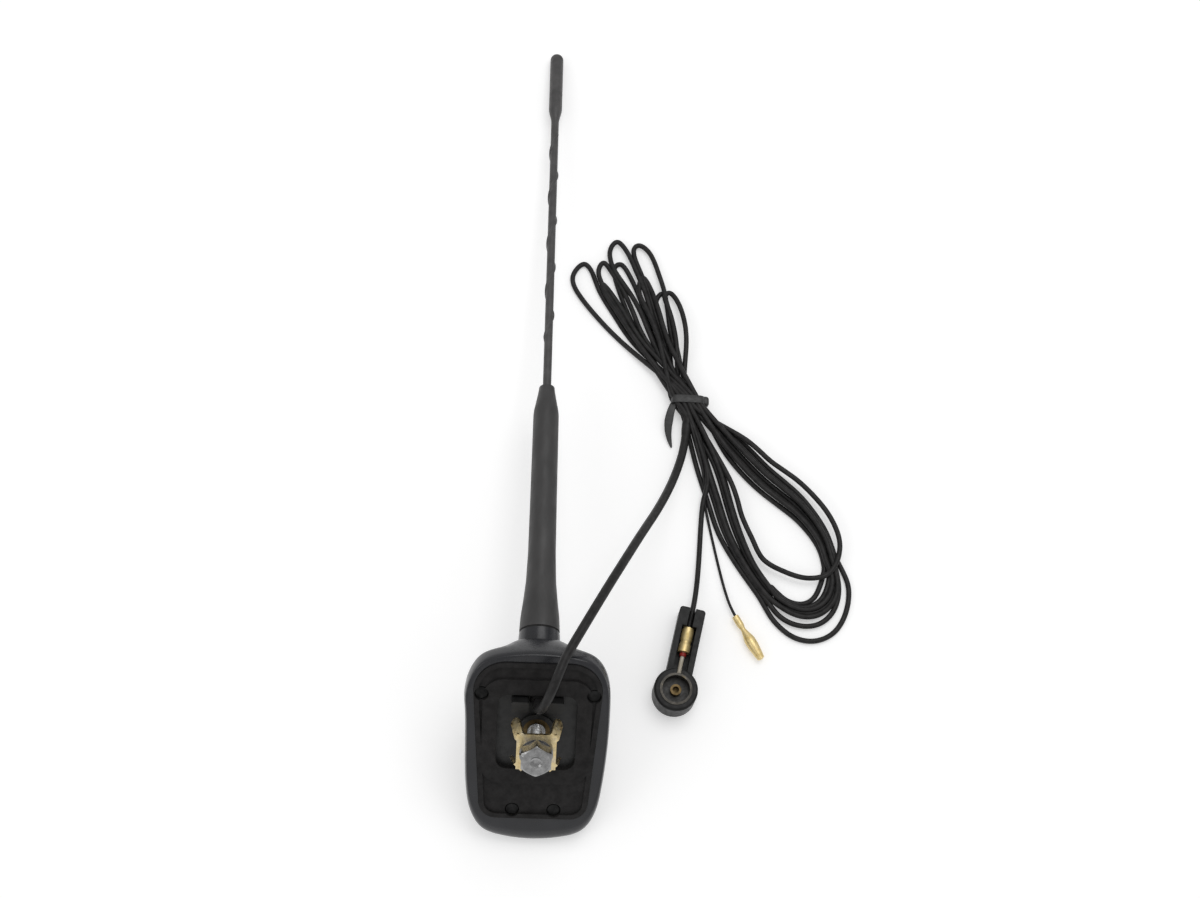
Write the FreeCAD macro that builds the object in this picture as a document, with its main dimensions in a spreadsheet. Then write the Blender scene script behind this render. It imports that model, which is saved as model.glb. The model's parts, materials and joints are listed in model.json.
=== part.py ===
import FreeCAD, Part
import math
import os

import Sketcher

# Car roof antenna: a screw-on helical whip on a raked mast sleeve, an amplified foot with a double-lip seal,
# a claw and bolt that clamp it through the roof, and a tied cable with an aerial plug and a power terminal.
# Everything of the antenna is drawn as it sits on a roof: origin on the bolt axis at the sealing plane,
# +Z up from the roof and +Y to the rear. It is then laid upside down on its nose and mast tip.

Vector = FreeCAD.Vector
doc = FreeCAD.newDocument("car_antenna")
sheet = doc.addObject("Spreadsheet::Sheet", "sizes")

driving = {
    # foot, seen in plan
    "base_width": 66,
    "base_rear": 38,
    "base_nose": 57,
    "plan_squareness": 4.2,
    "nose_taper": 0.11,
    # foot, seen from the side
    "rim_level": 0.8,
    "waist_level": 7,
    "crown_level": 32,
    "crown_back": 6,
    "crown_share": 0.93,
    "chin_run": 7,
    "rim_tuck": 1.2,
    "cover_wall": 2.2,
    "neck_radius": 9.3,
    "neck_flare": 11,
    "neck_blend": 2.5,
    "neck_share": 0.7,
    # seat of the mast on the neck
    "mast_lean": 50,
    "seat_back": 31,
    "seat_level": 34,
    # recess that takes gasket and plate
    "recess_rear": 34,
    "recess_front": 44,
    "recess_rear_half": 29,
    "recess_front_half": 23.8,
    "recess_rear_round": 14,
    "recess_front_round": 8,
    "slip": 0.15,
    # gasket
    "gasket_thickness": 3,
    "lip_height": 1.1,
    "outer_lip": 2.2,
    "ridge_width": 48,
    "ridge_length": 52,
    "ridge_round": 9,
    "opening_width": 35,
    "opening_length": 37,
    "opening_round": 5,
    "screw_hole_radius": 3.2,
    # base plate
    "plate_thickness": 2.5,
    "boss_radius": 8.2,
    "boss_height": 10,
    "boss_foot": 1.6,
    "lug_inner": 3.9,
    "lug_outer": 11.4,
    "lug_front": 12.2,
    "lug_rear": 17.2,
    "lug_reach": 4,
    "lug_round": 1,
    "standoff_radius": 2.4,
    "board_level": 14,
    # clamp
    "bolt_radius": 4,
    "bolt_length": 24.5,
    "bolt_flats": 13,
    "bolt_head": 6.5,
    "bolt_bevel": 1.1,
    "bolt_land": 0.2,
    "dimple_radius": 2.7,
    "dimple_depth": 0.8,
    "thread_gap": 0.06,
    "insert_radius": 6,
    "insert_length": 10,
    "claw_level": 15,
    "claw_sheet": 1.2,
    "claw_half": 8.6,
    "claw_leg_width": 4.6,
    "claw_shoulder": 11.2,
    "claw_spread": 14.2,
    "claw_tip_level": 5.4,
    "claw_tooth": 1.7,
    "claw_bore_gap": 0.3,
    "washer_radius": 7.3,
    "washer_thickness": 1.8,
    "washer_split": 0.9,
    # screws of the plate and of the board
    "screw_radius": 1.25,
    "screw_head_radius": 2.7,
    "screw_head": 1.7,
    "screw_length": 8,
    "screw_gap": 0.05,
    "post_radius": 3.2,
    "rear_screw_side": 24.6,
    "rear_screw_back": 18.5,
    "nose_screw_side": 9.3,
    "nose_screw_front": 40,
    "board_screw_radius": 1,
    "board_screw_head": 2,
    "board_screw_cap": 1.2,
    "board_screw_length": 5,
    "board_screw_short": 0.5,
    # amplifier
    "board_width": 36,
    "board_rear": 14,
    "board_front": 26,
    "board_thickness": 1.6,
    "board_screw_side": 14,
    "board_screw_front": 21,
    "board_screw_back": 10,
    "can_width": 18,
    "can_length": 14,
    "can_height": 3.6,
    "can_sheet": 0.4,
    "can_front": 19,
    "coil_radius": 3.2,
    "coil_waist": 2.1,
    "coil_height": 4,
    "coil_flange": 0.8,
    "coil_side": 9,
    "coil_back": 2,
    "spring_sheet": 0.5,
    "spring_width": 5,
    "spring_foot": 7,
    "spring_foot_back": 4,
    # mast
    "mast_length": 345,
    "whip_radius": 2.05,
    "tip_radius": 3.55,
    "tip_length": 38,
    "tip_taper": 10,
    "tip_rounding": 3.4,
    "whip_root": 16,
    "ridge_start": 158,
    "ridge_pitch": 29.6,
    "ridge_end_gap": 7.28,
    "ridge_radius": 0.9,
    "ridge_proud": 0.6,
    "sleeve_top": 130,
    "sleeve_top_radius": 3.6,
    "sleeve_shoulder": 14,
    "sleeve_shoulder_radius": 6.1,
    "sleeve_shoulder_round": 4,
    "sleeve_waist": 40,
    "sleeve_waist_radius": 6.4,
    "sleeve_flare": 8,
    "sleeve_flare_radius": 8.8,
    "sleeve_foot_radius": 9.15,
    "seal_thickness": 1,
    "seal_inner": 3.4,
    "seal_inset": 0.4,
    "stud_radius": 2.44,
    "stud_reach": 9,
    "stud_root": 15,
    "stud_collar": 4,
    "stud_collar_height": 6,
    "socket_radius": 5,
    "socket_length": 17,
    "socket_bore_depth": 12,
    "socket_flange": 6.2,
    "socket_flange_height": 2,
    # cable gland in the plate
    "grommet_back": 14.6,
    "grommet_radius": 3.6,
    "grommet_lip": 0.9,
    "grommet_lip_height": 1.2,
    "feed_radius": 2.1,
    "feed_stub": 1.5,
    # cords and what is on them
    "coax_radius": 1.3,
    "wire_radius": 0.7,
    "hank_height": 8,
    "tie_width": 4,
    "tie_sheet": 0.9,
    "tie_knob": 5,
    "plug_head_radius": 10.4,
    "plug_head_height": 12.5,
    "plug_head_round": 1.2,
    "plug_arm": 41,
    "plug_arm_width": 12.4,
    "plug_arm_height": 10.5,
    "plug_arm_round": 1.5,
    "plug_floor": 2.6,
    "plug_window_width": 7,
    "plug_window_start": 9.6,
    "plug_window_end": 32,
    "plug_ring_radius": 7.6,
    "plug_ring_wall": 1.1,
    "plug_ring_proud": 0.4,
    "plug_ring_floor": 3.4,
    "plug_core_height": 4.6,
    "plug_contact_radius": 2.6,
    "plug_contact_bore": 1.55,
    "plug_contact_height": 7.6,
    "ferrule_radius": 2.9,
    "ferrule_length": 12,
    "ferrule_ridge": 0.35,
    "core_radius": 1.05,
    "core_gap": 0.1,
    "terminal_length": 25,
    "terminal_radius": 2.75,
    "terminal_crimp": 6,
    "terminal_crimp_radius": 1.7,
    "terminal_neck": 1.3,
    "terminal_nose": 1.5,
    "terminal_slot": 0.8,
    "terminal_slot_length": 10,
    "terminal_bore_depth": 5,
}
for row, (alias, value) in enumerate(driving.items(), start=1):
    sheet.set(f"A{row}", alias)
    sheet.set(f"B{row}", str(value))
    sheet.setAlias(f"B{row}", alias)
doc.recompute()


class Size:
    """A size that carries both its value and its formula over the cells of the sheet."""

    def __init__(self, value, formula):
        self.value = float(value)
        self.formula = formula

    def joined(self, other, sign, value):
        return Size(value, f"({self.formula} {sign} {sized(other).formula})")

    def __add__(self, other):
        return self.joined(other, "+", self.value + sized(other).value)

    def __sub__(self, other):
        return self.joined(other, "-", self.value - sized(other).value)

    def __mul__(self, other):
        return self.joined(other, "*", self.value * sized(other).value)

    def __truediv__(self, other):
        return self.joined(other, "/", self.value / sized(other).value)

    def __radd__(self, other):
        return sized(other) + self

    def __rsub__(self, other):
        return sized(other) - self

    def __rmul__(self, other):
        return sized(other) * self

    def __neg__(self):
        return Size(-self.value, f"(0 - {self.formula})")


def sized(item):
    return item if isinstance(item, Size) else Size(item, str(item))


class Sizes:
    """The cells of the sheet as attributes."""

    def __getattr__(self, alias):
        return Size(sheet.get(alias), f"sizes.{alias}")


dim = Sizes()


def bind(thing, name, size):
    thing.setExpression(name, sized(size).formula)


# How far a cutting sketch runs past the stock, and two ratios of regular figures
overcut = 1
square_corner = 1.4142
hex_corner = 0.57735


# Sketches and features that the sub-parts share

def new_body(label):
    body = doc.addObject("PartDesign::Body", label)
    body.Label = label
    return body


def origin_part(body, role):
    return next(item for item in body.Origin.OriginFeatures if item.Role == role)


def new_sketch(body, role, offset=0):
    sketch = body.newObject("Sketcher::SketchObject", body.Name + "_sketch")
    sketch.AttachmentSupport = [(origin_part(body, role), "")]
    sketch.MapMode = "FlatFace"
    bind(sketch, "AttachmentOffset.Base.z", offset)
    return sketch


def pin_point(sketch, geometry, position, x, y):
    for kind, size, axis in (("DistanceX", sized(x), -2), ("DistanceY", sized(y), -1)):
        if size.formula == "0":
            sketch.addConstraint(Sketcher.Constraint("PointOnObject", geometry, position, axis))
        else:
            rule = Sketcher.Constraint(kind, -1, 1, geometry, position, size.value)
            bind(sketch, f"Constraints[{sketch.addConstraint(rule)}]", size)


def draw_polygon(sketch, points):
    corners = [Vector(sized(x).value, sized(y).value, 0) for x, y in points]
    first = sketch.GeometryCount
    count = len(points)
    for i in range(count):
        sketch.addGeometry(Part.LineSegment(corners[i], corners[(i + 1) % count]), False)
    for i in range(count):
        after = first + (i + 1) % count
        sketch.addConstraint(Sketcher.Constraint("Coincident", first + i, 2, after, 1))
    for i, (x, y) in enumerate(points):
        pin_point(sketch, first + i, 1, x, y)


def draw_box(sketch, left, right, low, high):
    draw_polygon(sketch, [(left, low), (right, low), (right, high), (left, high)])


def draw_circle(sketch, x, y, radius):
    centre = Vector(sized(x).value, sized(y).value, 0)
    index = sketch.addGeometry(Part.Circle(centre, Vector(0, 0, 1), sized(radius).value), False)
    pin_point(sketch, index, 3, x, y)
    rule = Sketcher.Constraint("Radius", index, sized(radius).value)
    bind(sketch, f"Constraints[{sketch.addConstraint(rule)}]", radius)


def raise_pad(body, sketch, height):
    pad = body.newObject("PartDesign::Pad", body.Name + "_pad")
    pad.Profile = sketch
    bind(pad, "Length", height)
    doc.recompute()
    return pad


def sink_pocket(body, sketch, depth, upward=False):
    before = body.Shape.Volume
    pocket = body.newObject("PartDesign::Pocket", body.Name + "_pocket")
    pocket.Profile = sketch
    pocket.Reversed = upward
    bind(pocket, "Length", depth)
    doc.recompute()
    if body.Shape.Volume >= before:
        raise ValueError(f"{body.Label}: a pocket cut nothing")
    return pocket


def round_edges(body, radius, picked, kind="PartDesign::Fillet", name="Radius"):
    feature = body.Tip
    edges = [f"Edge{i}" for i, edge in enumerate(feature.Shape.Edges, start=1) if picked(edge)]
    rounding = body.newObject(kind, body.Name + "_edge")
    rounding.Base = (feature, edges)
    bind(rounding, name, radius)
    doc.recompute()
    return rounding


def is_upright(edge):
    span = edge.Vertexes[-1].Point - edge.Vertexes[0].Point
    return span.Length > 1e-6 and abs(span.z) > 0.999 * span.Length


def ring_at(level, radius):
    """Picks the round edge of a given radius at a given level."""

    def picked(edge):
        curve = edge.Curve
        is_round = isinstance(curve, Part.Circle) and abs(curve.Radius - radius.value) < 1e-6
        return is_round and abs(curve.Center.z - sized(level).value) < 1e-6

    return picked


def turned(label, points):
    """A body of revolution about its own Z axis, from (radius, level) corners."""
    body = new_body(label)
    sketch = new_sketch(body, "XZ_Plane")
    draw_polygon(sketch, points)
    turn = body.newObject("PartDesign::Revolution", label + "_turn")
    turn.Profile = sketch
    turn.ReferenceAxis = (sketch, ["V_Axis"])
    turn.Angle = 360
    doc.recompute()
    return body


def tube_profile(inner, outer, low, high):
    return [(inner, low), (outer, low), (outer, high), (inner, high)]


def plain_feature(label, shape):
    feature = doc.addObject("Part::Feature", label)
    feature.Label = label
    feature.Shape = shape
    return feature


# Levels of the foot, from the sealing plane upwards
plate_bottom = dim.gasket_thickness
plate_top = plate_bottom + dim.plate_thickness
rear_screws = [(side * dim.rear_screw_side, dim.rear_screw_back) for side in (-1, 1)]
nose_screws = [(side * dim.nose_screw_side, -dim.nose_screw_front) for side in (-1, 1)]
plate_screws = rear_screws + nose_screws
board_screws = [(side * dim.board_screw_side, -dim.board_screw_front) for side in (-1, 1)]
board_screws.append((dim.board_screw_side, dim.board_screw_back))


# Cover: a domed moulding whose plan is a squarish oval that narrows to the nose

def plan_wire(level, rear, nose, half_width, inset):
    """Closed plan curve: |x/a|^n + |y/b|^n = 1, narrowed towards the nose."""
    count = 16
    power = 2 / dim.plan_squareness.value
    middle = (rear - nose) / 2
    half_length = (rear + nose) / 2 - inset
    points = []
    for step in range(count):
        angle = 2 * math.pi * (step + 0.5) / count
        across = math.copysign(abs(math.cos(angle)) ** power, math.cos(angle))
        along = math.copysign(abs(math.sin(angle)) ** power, math.sin(angle))
        narrowing = 1 - dim.nose_taper.value * ((1 - along) / 2) ** 1.5
        points.append(Vector((half_width - inset) * across * narrowing, middle + half_length * along, level))
    curve = Part.BSplineCurve()
    curve.interpolate(Points=points, PeriodicFlag=True)
    return Part.Wire(curve.toShape())


def dome(inset):
    """Lofted solid of the cover's outside, or of its hollow when inset by the wall."""
    rim, waist = dim.rim_level.value, dim.waist_level.value
    crown = dim.crown_level.value - inset
    half_width = dim.base_width.value / 2
    rear, nose, back = dim.base_rear.value, dim.base_nose.value, dim.crown_back.value
    wires = []
    for share in (1, 0.75, 0):
        tuck = 1 - math.sqrt(1 - share ** 2)
        level = waist - (waist - rim) * share
        chin = dim.chin_run.value * tuck
        side = dim.rim_tuck.value * tuck
        wires.append(plan_wire(level, rear - side, nose - chin, half_width - side, inset))
    for share in (0.4, 0.75, dim.crown_share.value):
        level = waist + (crown - waist) * share
        ahead = (nose + back) * (1 - share ** 1.3) ** 0.8 - back
        behind = back + (rear - back) * (1 - share ** 3) ** 0.6
        side = half_width * (1 - share ** 2.2) ** 0.6
        wires.append(plan_wire(level, behind, ahead, side, inset))
    return Part.makeLoft(wires, True, False)


def recess_prism(low, high, gap):
    """Prism of the recess outline, wider by a gap all round."""
    rear = dim.recess_rear.value + gap
    front = -dim.recess_front.value - gap
    wide = dim.recess_rear_half.value + gap
    narrow = dim.recess_front_half.value + gap
    corners = [(-wide, rear), (-narrow, front), (narrow, front), (wide, rear), (-wide, rear)]
    face = Part.Face(Part.makePolygon([Vector(x, y, low) for x, y in corners]))
    prism = face.extrude(Vector(0, 0, high - low))
    for is_rear, radius in ((True, dim.recess_rear_round), (False, dim.recess_front_round)):
        edges = [e for e in prism.Edges if is_upright(e) and (e.CenterOfMass.y > 0) == is_rear]
        prism = prism.makeFillet(radius.value + gap, edges[:2])
    return prism


seat = Vector(0, dim.seat_back.value, dim.seat_level.value)
mast_rake = FreeCAD.Rotation(Vector(1, 0, 0), dim.mast_lean.value - 90)
mast_axis = mast_rake.multVec(Vector(0, 0, 1))


def cover_shape():
    """Dome and neck, hollowed, with the recess, the socket's bore and four screw posts."""
    outside = dome(0)
    neck_depth = dim.neck_share.value * dim.seat_level.value / mast_axis.z
    neck_foot = seat - mast_axis * neck_depth
    neck = Part.makeCone(dim.neck_flare.value, dim.neck_radius.value, neck_depth, neck_foot, mast_axis)
    outer = outside.fuse(neck)
    cone = next(face for face in outer.Faces if isinstance(face.Surface, Part.Cone))
    blend = [e for e in cone.Edges if not isinstance(e.Curve, (Part.Line, Part.Circle))]
    crown = dim.waist_level.value + (dim.crown_level.value - dim.waist_level.value) * dim.crown_share.value
    top = [e for e in outer.Edges if abs(e.BoundBox.ZMin - crown) + abs(e.BoundBox.ZMax - crown) < 1e-3]
    blend += [e for e in top if isinstance(e.Curve, Part.BSplineCurve)]
    outer = outer.makeFillet(dim.neck_blend.value, blend)
    top_of_plate = plate_top.value
    span = dim.base_width.value + dim.base_rear.value + dim.base_nose.value
    upper = Part.makeBox(2 * span, 2 * span, span, Vector(-span, -span, top_of_plate))
    hollow = dome(dim.cover_wall.value).common(upper)
    socket_wall = dim.socket_radius.value + dim.cover_wall.value
    sheath = Part.makeCylinder(socket_wall, dim.socket_length.value - 2 * dim.socket_flange_height.value,
                               seat, -mast_axis)
    posts = []
    holes = []
    for x, y in plate_screws:
        foot = Vector(x.value, y.value, top_of_plate)
        posts.append(Part.makeCylinder(dim.post_radius.value, dim.crown_level.value, foot).common(outside))
        depth = dim.screw_length.value
        holes.append(Part.makeCylinder(dim.screw_radius.value + dim.screw_gap.value, depth, foot))
    hollow = hollow.cut(posts + [sheath])
    recess = recess_prism(-dim.rim_level.value, top_of_plate, dim.slip.value)
    bore = Part.makeCylinder(dim.socket_radius.value, dim.socket_length.value, seat, -mast_axis)
    return outer.cut([hollow, recess, bore] + holes)


cover = plain_feature("base_cover", cover_shape())


# Gasket: a pad with an outer lip and an inner ridge, open in the middle

def round_block(width, length, low, high, rounding):
    box = Part.makeBox(width, length, high - low, Vector(-width / 2, -length / 2, low))
    return box.makeFillet(rounding, [e for e in box.Edges if is_upright(e)])


def gasket_shape():
    thickness, lip = dim.gasket_thickness.value, dim.lip_height.value
    pad = recess_prism(0, thickness, 0)
    ridge = round_block(dim.ridge_width.value, dim.ridge_length.value, 0, lip, dim.ridge_round.value)
    groove = recess_prism(0, lip, -dim.outer_lip.value).cut(ridge)
    mouth = round_block(dim.opening_width.value, dim.opening_length.value, 0, thickness,
                        dim.opening_round.value)
    radius = dim.screw_hole_radius.value
    holes = [Part.makeCylinder(radius, thickness, Vector(x.value, y.value, 0)) for x, y in plate_screws]
    return pad.cut([groove, mouth] + holes)


gasket = plain_feature("seal_gasket", gasket_shape())


# Base plate: bolt boss, two lugs that guide the cable, standoffs for the board

def plate_shape():
    low, high = plate_bottom.value, plate_top.value
    board = dim.board_level.value
    boss_low = low - dim.boss_foot.value
    boss_high = high + dim.boss_height.value - dim.plate_thickness.value
    added = [Part.makeCylinder(dim.boss_radius.value, boss_high - boss_low, Vector(0, 0, boss_low))]
    lug_depth = low + dim.lug_reach.value
    lug_length = dim.lug_rear.value - dim.lug_front.value
    lug_width = dim.lug_outer.value - dim.lug_inner.value
    for left in (-dim.lug_outer.value, dim.lug_inner.value):
        corner = Vector(left, dim.lug_front.value, -dim.lug_reach.value)
        lug = Part.makeBox(lug_width, lug_length, lug_depth, corner)
        added.append(lug.makeFillet(dim.lug_round.value, [e for e in lug.Edges if is_upright(e)]))
    cut = []
    for x, y in board_screws:
        foot = Vector(x.value, y.value, high)
        added.append(Part.makeCylinder(dim.standoff_radius.value, board - high, foot))
        reach = dim.board_screw_length.value
        hole = Vector(x.value, y.value, board - reach)
        cut.append(Part.makeCylinder(dim.board_screw_radius.value + dim.screw_gap.value, reach, hole))
    for x, y in plate_screws:
        hole = Vector(x.value, y.value, low)
        cut.append(Part.makeCylinder(dim.screw_radius.value + dim.screw_gap.value, high - low, hole))
    cut.append(Part.makeCylinder(dim.insert_radius.value, dim.insert_length.value, Vector(0, 0, boss_low)))
    gland = Vector(0, dim.grommet_back.value, low)
    cut.append(Part.makeCylinder(dim.grommet_radius.value, high - low, gland))
    return recess_prism(low, high, 0).fuse(added).cut(cut)


plate = plain_feature("base_plate", plate_shape())
insert_low = plate_bottom - dim.boss_foot
threaded_insert = turned("threaded_insert", tube_profile(
    dim.bolt_radius + dim.thread_gap, dim.insert_radius, insert_low, insert_low + dim.insert_length))

# Cable gland: a grommet in the plate, and the lead from it up to the board
gland_bore = dim.feed_radius
grommet = turned("cable_grommet", [
    (gland_bore, plate_bottom - dim.feed_stub),
    (dim.grommet_radius - dim.grommet_lip, plate_bottom - dim.feed_stub),
    (dim.grommet_radius, plate_bottom), (dim.grommet_radius, plate_top),
    (dim.grommet_radius + dim.grommet_lip, plate_top),
    (dim.grommet_radius + dim.grommet_lip, plate_top + dim.grommet_lip_height),
    (gland_bore, plate_top + dim.grommet_lip_height)])
inner_lead = turned("inner_lead", tube_profile(0, gland_bore, plate_bottom - dim.feed_stub, dim.board_level))

# Clamp: claw, lock washer and bolt, hanging below the sealing plane
claw_top = -dim.claw_level
claw_bottom = claw_top - dim.claw_sheet
claw = new_body("claw_clamp")
claw_sketch = new_sketch(claw, "XY_Plane", claw_bottom)
reach = dim.claw_half * square_corner
draw_polygon(claw_sketch, [(-reach, 0), (0, -reach), (reach, 0), (0, reach)])
draw_circle(claw_sketch, 0, 0, dim.bolt_radius + dim.claw_bore_gap)
raise_pad(claw, claw_sketch, dim.claw_sheet)
leg_sketch = new_sketch(claw, "XZ_Plane", -dim.claw_leg_width / 2)
leg_inner = dim.claw_shoulder - dim.claw_sheet
tip_level = -dim.claw_tip_level
draw_polygon(leg_sketch, [
    (dim.bolt_radius + dim.claw_leg_width / 2, claw_bottom), (dim.claw_shoulder, claw_bottom),
    (dim.claw_spread, tip_level), (dim.claw_spread - dim.claw_sheet, tip_level),
    (leg_inner, claw_top), (dim.bolt_radius + dim.claw_leg_width / 2, claw_top)])
leg = raise_pad(claw, leg_sketch, dim.claw_leg_width)
legs = claw.newObject("PartDesign::PolarPattern", "claw_legs")
legs.Originals = [leg]
legs.Axis = (origin_part(claw, "Z_Axis"), [""])
legs.Angle = 360
legs.Occurrences = 4
claw.Tip = legs
doc.recompute()


def is_tooth_corner(edge):
    box = edge.BoundBox
    off_level = abs(box.ZMin - tip_level.value) + abs(box.ZMax - tip_level.value)
    return off_level < 1e-6 and abs(edge.Length - dim.claw_sheet.value) < 1e-6


round_edges(claw, dim.claw_tooth, is_tooth_corner, "PartDesign::Chamfer", "Size")

washer = turned("lock_washer", tube_profile(
    dim.bolt_radius + dim.claw_bore_gap, dim.washer_radius, claw_bottom - dim.washer_thickness, claw_bottom))
washer_sketch = new_sketch(washer, "XY_Plane", claw_bottom)
draw_box(washer_sketch, 0, dim.washer_radius + overcut,
         -dim.washer_split / 2, dim.washer_split / 2)
sink_pocket(washer, washer_sketch, dim.washer_thickness)

head_top = claw_bottom - dim.washer_thickness
head_end = head_top - dim.bolt_head
bolt = new_body("fixing_bolt")
hex_sketch = new_sketch(bolt, "XY_Plane", head_end)
half_flat = dim.bolt_flats / 2
corner = dim.bolt_flats * hex_corner
draw_polygon(hex_sketch, [(corner, 0), (corner / 2, half_flat), (-corner / 2, half_flat),
                          (-corner, 0), (-corner / 2, -half_flat), (corner / 2, -half_flat)])
raise_pad(bolt, hex_sketch, dim.bolt_head)
bevel_sketch = new_sketch(bolt, "XZ_Plane")
draw_polygon(bevel_sketch, [(half_flat - dim.bolt_land, head_end), (corner + overcut, head_end),
                            (corner + overcut, head_end + dim.bolt_bevel)])
bevel = bolt.newObject("PartDesign::Groove", "bolt_bevel_turn")
bevel.Profile = bevel_sketch
bevel.ReferenceAxis = (bevel_sketch, ["V_Axis"])
bevel.Angle = 360
doc.recompute()
dimple_sketch = new_sketch(bolt, "XY_Plane", head_end)
draw_circle(dimple_sketch, 0, 0, dim.dimple_radius)
sink_pocket(bolt, dimple_sketch, dim.dimple_depth, upward=True)
shank_sketch = new_sketch(bolt, "XY_Plane", head_top)
draw_circle(shank_sketch, 0, 0, dim.bolt_radius)
raise_pad(bolt, shank_sketch, dim.bolt_length)

# Screws of the plate and of the board, each set in one node


def screw_set(label, places, low, head, head_radius, radius, length):
    """Screws with the head below a face and the shank above it, or turned over for a negative length."""
    shapes = []
    way = 1 if length > 0 else -1
    for x, y in places:
        foot = Vector(x.value, y.value, low)
        cap = Part.makeCylinder(head_radius, head, foot, Vector(0, 0, -way))
        shank = Part.makeCylinder(radius, abs(length), foot, Vector(0, 0, way))
        shapes.append(cap.fuse(shank).removeSplitter())
    return plain_feature(label, Part.makeCompound(shapes))


board_top = dim.board_level + dim.board_thickness
base_screws = screw_set("base_screws", plate_screws, plate_bottom.value, dim.screw_head.value,
                        dim.screw_head_radius.value, dim.screw_radius.value, dim.screw_length.value)
board_set = screw_set("board_screws", board_screws, board_top.value, dim.board_screw_cap.value,
                      dim.board_screw_head.value, dim.board_screw_radius.value,
                      (dim.board_screw_short - dim.board_thickness - dim.board_screw_length).value)

# Amplifier: board, screening can, choke coil and the leaf spring that feeds it from the mast
board = new_body("amplifier_board")
board_sketch = new_sketch(board, "XY_Plane", dim.board_level)
draw_box(board_sketch, -dim.board_width / 2, dim.board_width / 2, -dim.board_front, dim.board_rear)
for x, y in board_screws:
    draw_circle(board_sketch, x, y, dim.board_screw_radius + dim.screw_gap)
raise_pad(board, board_sketch, dim.board_thickness)

can = new_body("screening_can")
can_sketch = new_sketch(can, "XY_Plane", board_top)
can_rear = dim.can_length - dim.can_front
draw_box(can_sketch, -dim.can_width / 2, dim.can_width / 2, -dim.can_front, can_rear)
raise_pad(can, can_sketch, dim.can_height)
inside_sketch = new_sketch(can, "XY_Plane", board_top)
draw_box(inside_sketch, dim.can_sheet - dim.can_width / 2, dim.can_width / 2 - dim.can_sheet,
         dim.can_sheet - dim.can_front, can_rear - dim.can_sheet)
sink_pocket(can, inside_sketch, dim.can_height - dim.can_sheet, upward=True)

coil_top = board_top + dim.coil_height
coil = turned("choke_coil", [
    (0, board_top), (dim.coil_radius, board_top), (dim.coil_radius, board_top + dim.coil_flange),
    (dim.coil_waist, board_top + dim.coil_flange), (dim.coil_waist, coil_top - dim.coil_flange),
    (dim.coil_radius, coil_top - dim.coil_flange), (dim.coil_radius, coil_top), (0, coil_top)])

# Mast: whip with its winding ridge, sleeve, stud and the seal under the foot
whip_foot = dim.sleeve_top - dim.whip_root
cap_start = dim.mast_length - dim.tip_length
whip = turned("mast_whip", [
    (0, whip_foot), (dim.whip_radius, whip_foot), (dim.whip_radius, cap_start - dim.tip_taper),
    (dim.tip_radius, cap_start), (dim.tip_radius, dim.mast_length), (0, dim.mast_length)])
round_edges(whip, dim.tip_rounding, ring_at(dim.mast_length, dim.tip_radius))
ridge_sketch = new_sketch(whip, "XZ_Plane")
ridge_centre = dim.whip_radius + dim.ridge_proud - dim.ridge_radius
draw_circle(ridge_sketch, ridge_centre, dim.ridge_start, dim.ridge_radius)
ridge = whip.newObject("PartDesign::AdditiveHelix", "whip_ridge")
ridge.Profile = ridge_sketch
ridge.ReferenceAxis = (ridge_sketch, ["V_Axis"])
ridge.Mode = "pitch-turns-angle"
bind(ridge, "Pitch", dim.ridge_pitch)
ridge_run = cap_start - dim.tip_taper - dim.ridge_start - dim.ridge_end_gap
bind(ridge, "Turns", ridge_run / dim.ridge_pitch)
doc.recompute()

sleeve_foot = dim.seal_thickness
sleeve = turned("mast_sleeve", [
    (dim.stud_radius, sleeve_foot), (dim.sleeve_foot_radius, sleeve_foot),
    (dim.sleeve_flare_radius, dim.sleeve_flare), (dim.sleeve_waist_radius, dim.sleeve_waist),
    (dim.sleeve_shoulder_radius, dim.sleeve_top - dim.sleeve_shoulder),
    (dim.sleeve_top_radius, dim.sleeve_top), (dim.whip_radius, dim.sleeve_top), (dim.whip_radius, whip_foot),
    (0, whip_foot), (0, sleeve_foot + dim.stud_root),
    (dim.stud_collar, sleeve_foot + dim.stud_root),
    (dim.stud_collar, sleeve_foot + dim.stud_root - dim.stud_collar_height),
    (dim.stud_radius, sleeve_foot + dim.stud_root - dim.stud_collar_height)])
round_edges(sleeve, dim.sleeve_shoulder_round,
            ring_at(dim.sleeve_top - dim.sleeve_shoulder, dim.sleeve_shoulder_radius))
stud = turned("mast_stud", [
    (0, -dim.stud_reach), (dim.stud_radius, -dim.stud_reach),
    (dim.stud_radius, sleeve_foot + dim.stud_root - dim.stud_collar_height),
    (dim.stud_collar, sleeve_foot + dim.stud_root - dim.stud_collar_height),
    (dim.stud_collar, sleeve_foot + dim.stud_root), (0, sleeve_foot + dim.stud_root)])
seal = turned("mast_seal_ring", tube_profile(
    dim.seal_inner, dim.neck_radius - dim.seal_inset, 0, dim.seal_thickness))
socket_end = -dim.socket_length
socket = turned("mast_socket", [
    (0, socket_end - dim.socket_flange_height), (dim.socket_flange, socket_end - dim.socket_flange_height),
    (dim.socket_flange, socket_end), (dim.socket_radius, socket_end), (dim.socket_radius, 0),
    (dim.stud_radius + dim.thread_gap, 0), (dim.stud_radius + dim.thread_gap, -dim.socket_bore_depth),
    (0, -dim.socket_bore_depth)])

# Leaf spring: flat foot on the board, riser, and a lip that lies along the socket's end face

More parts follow.
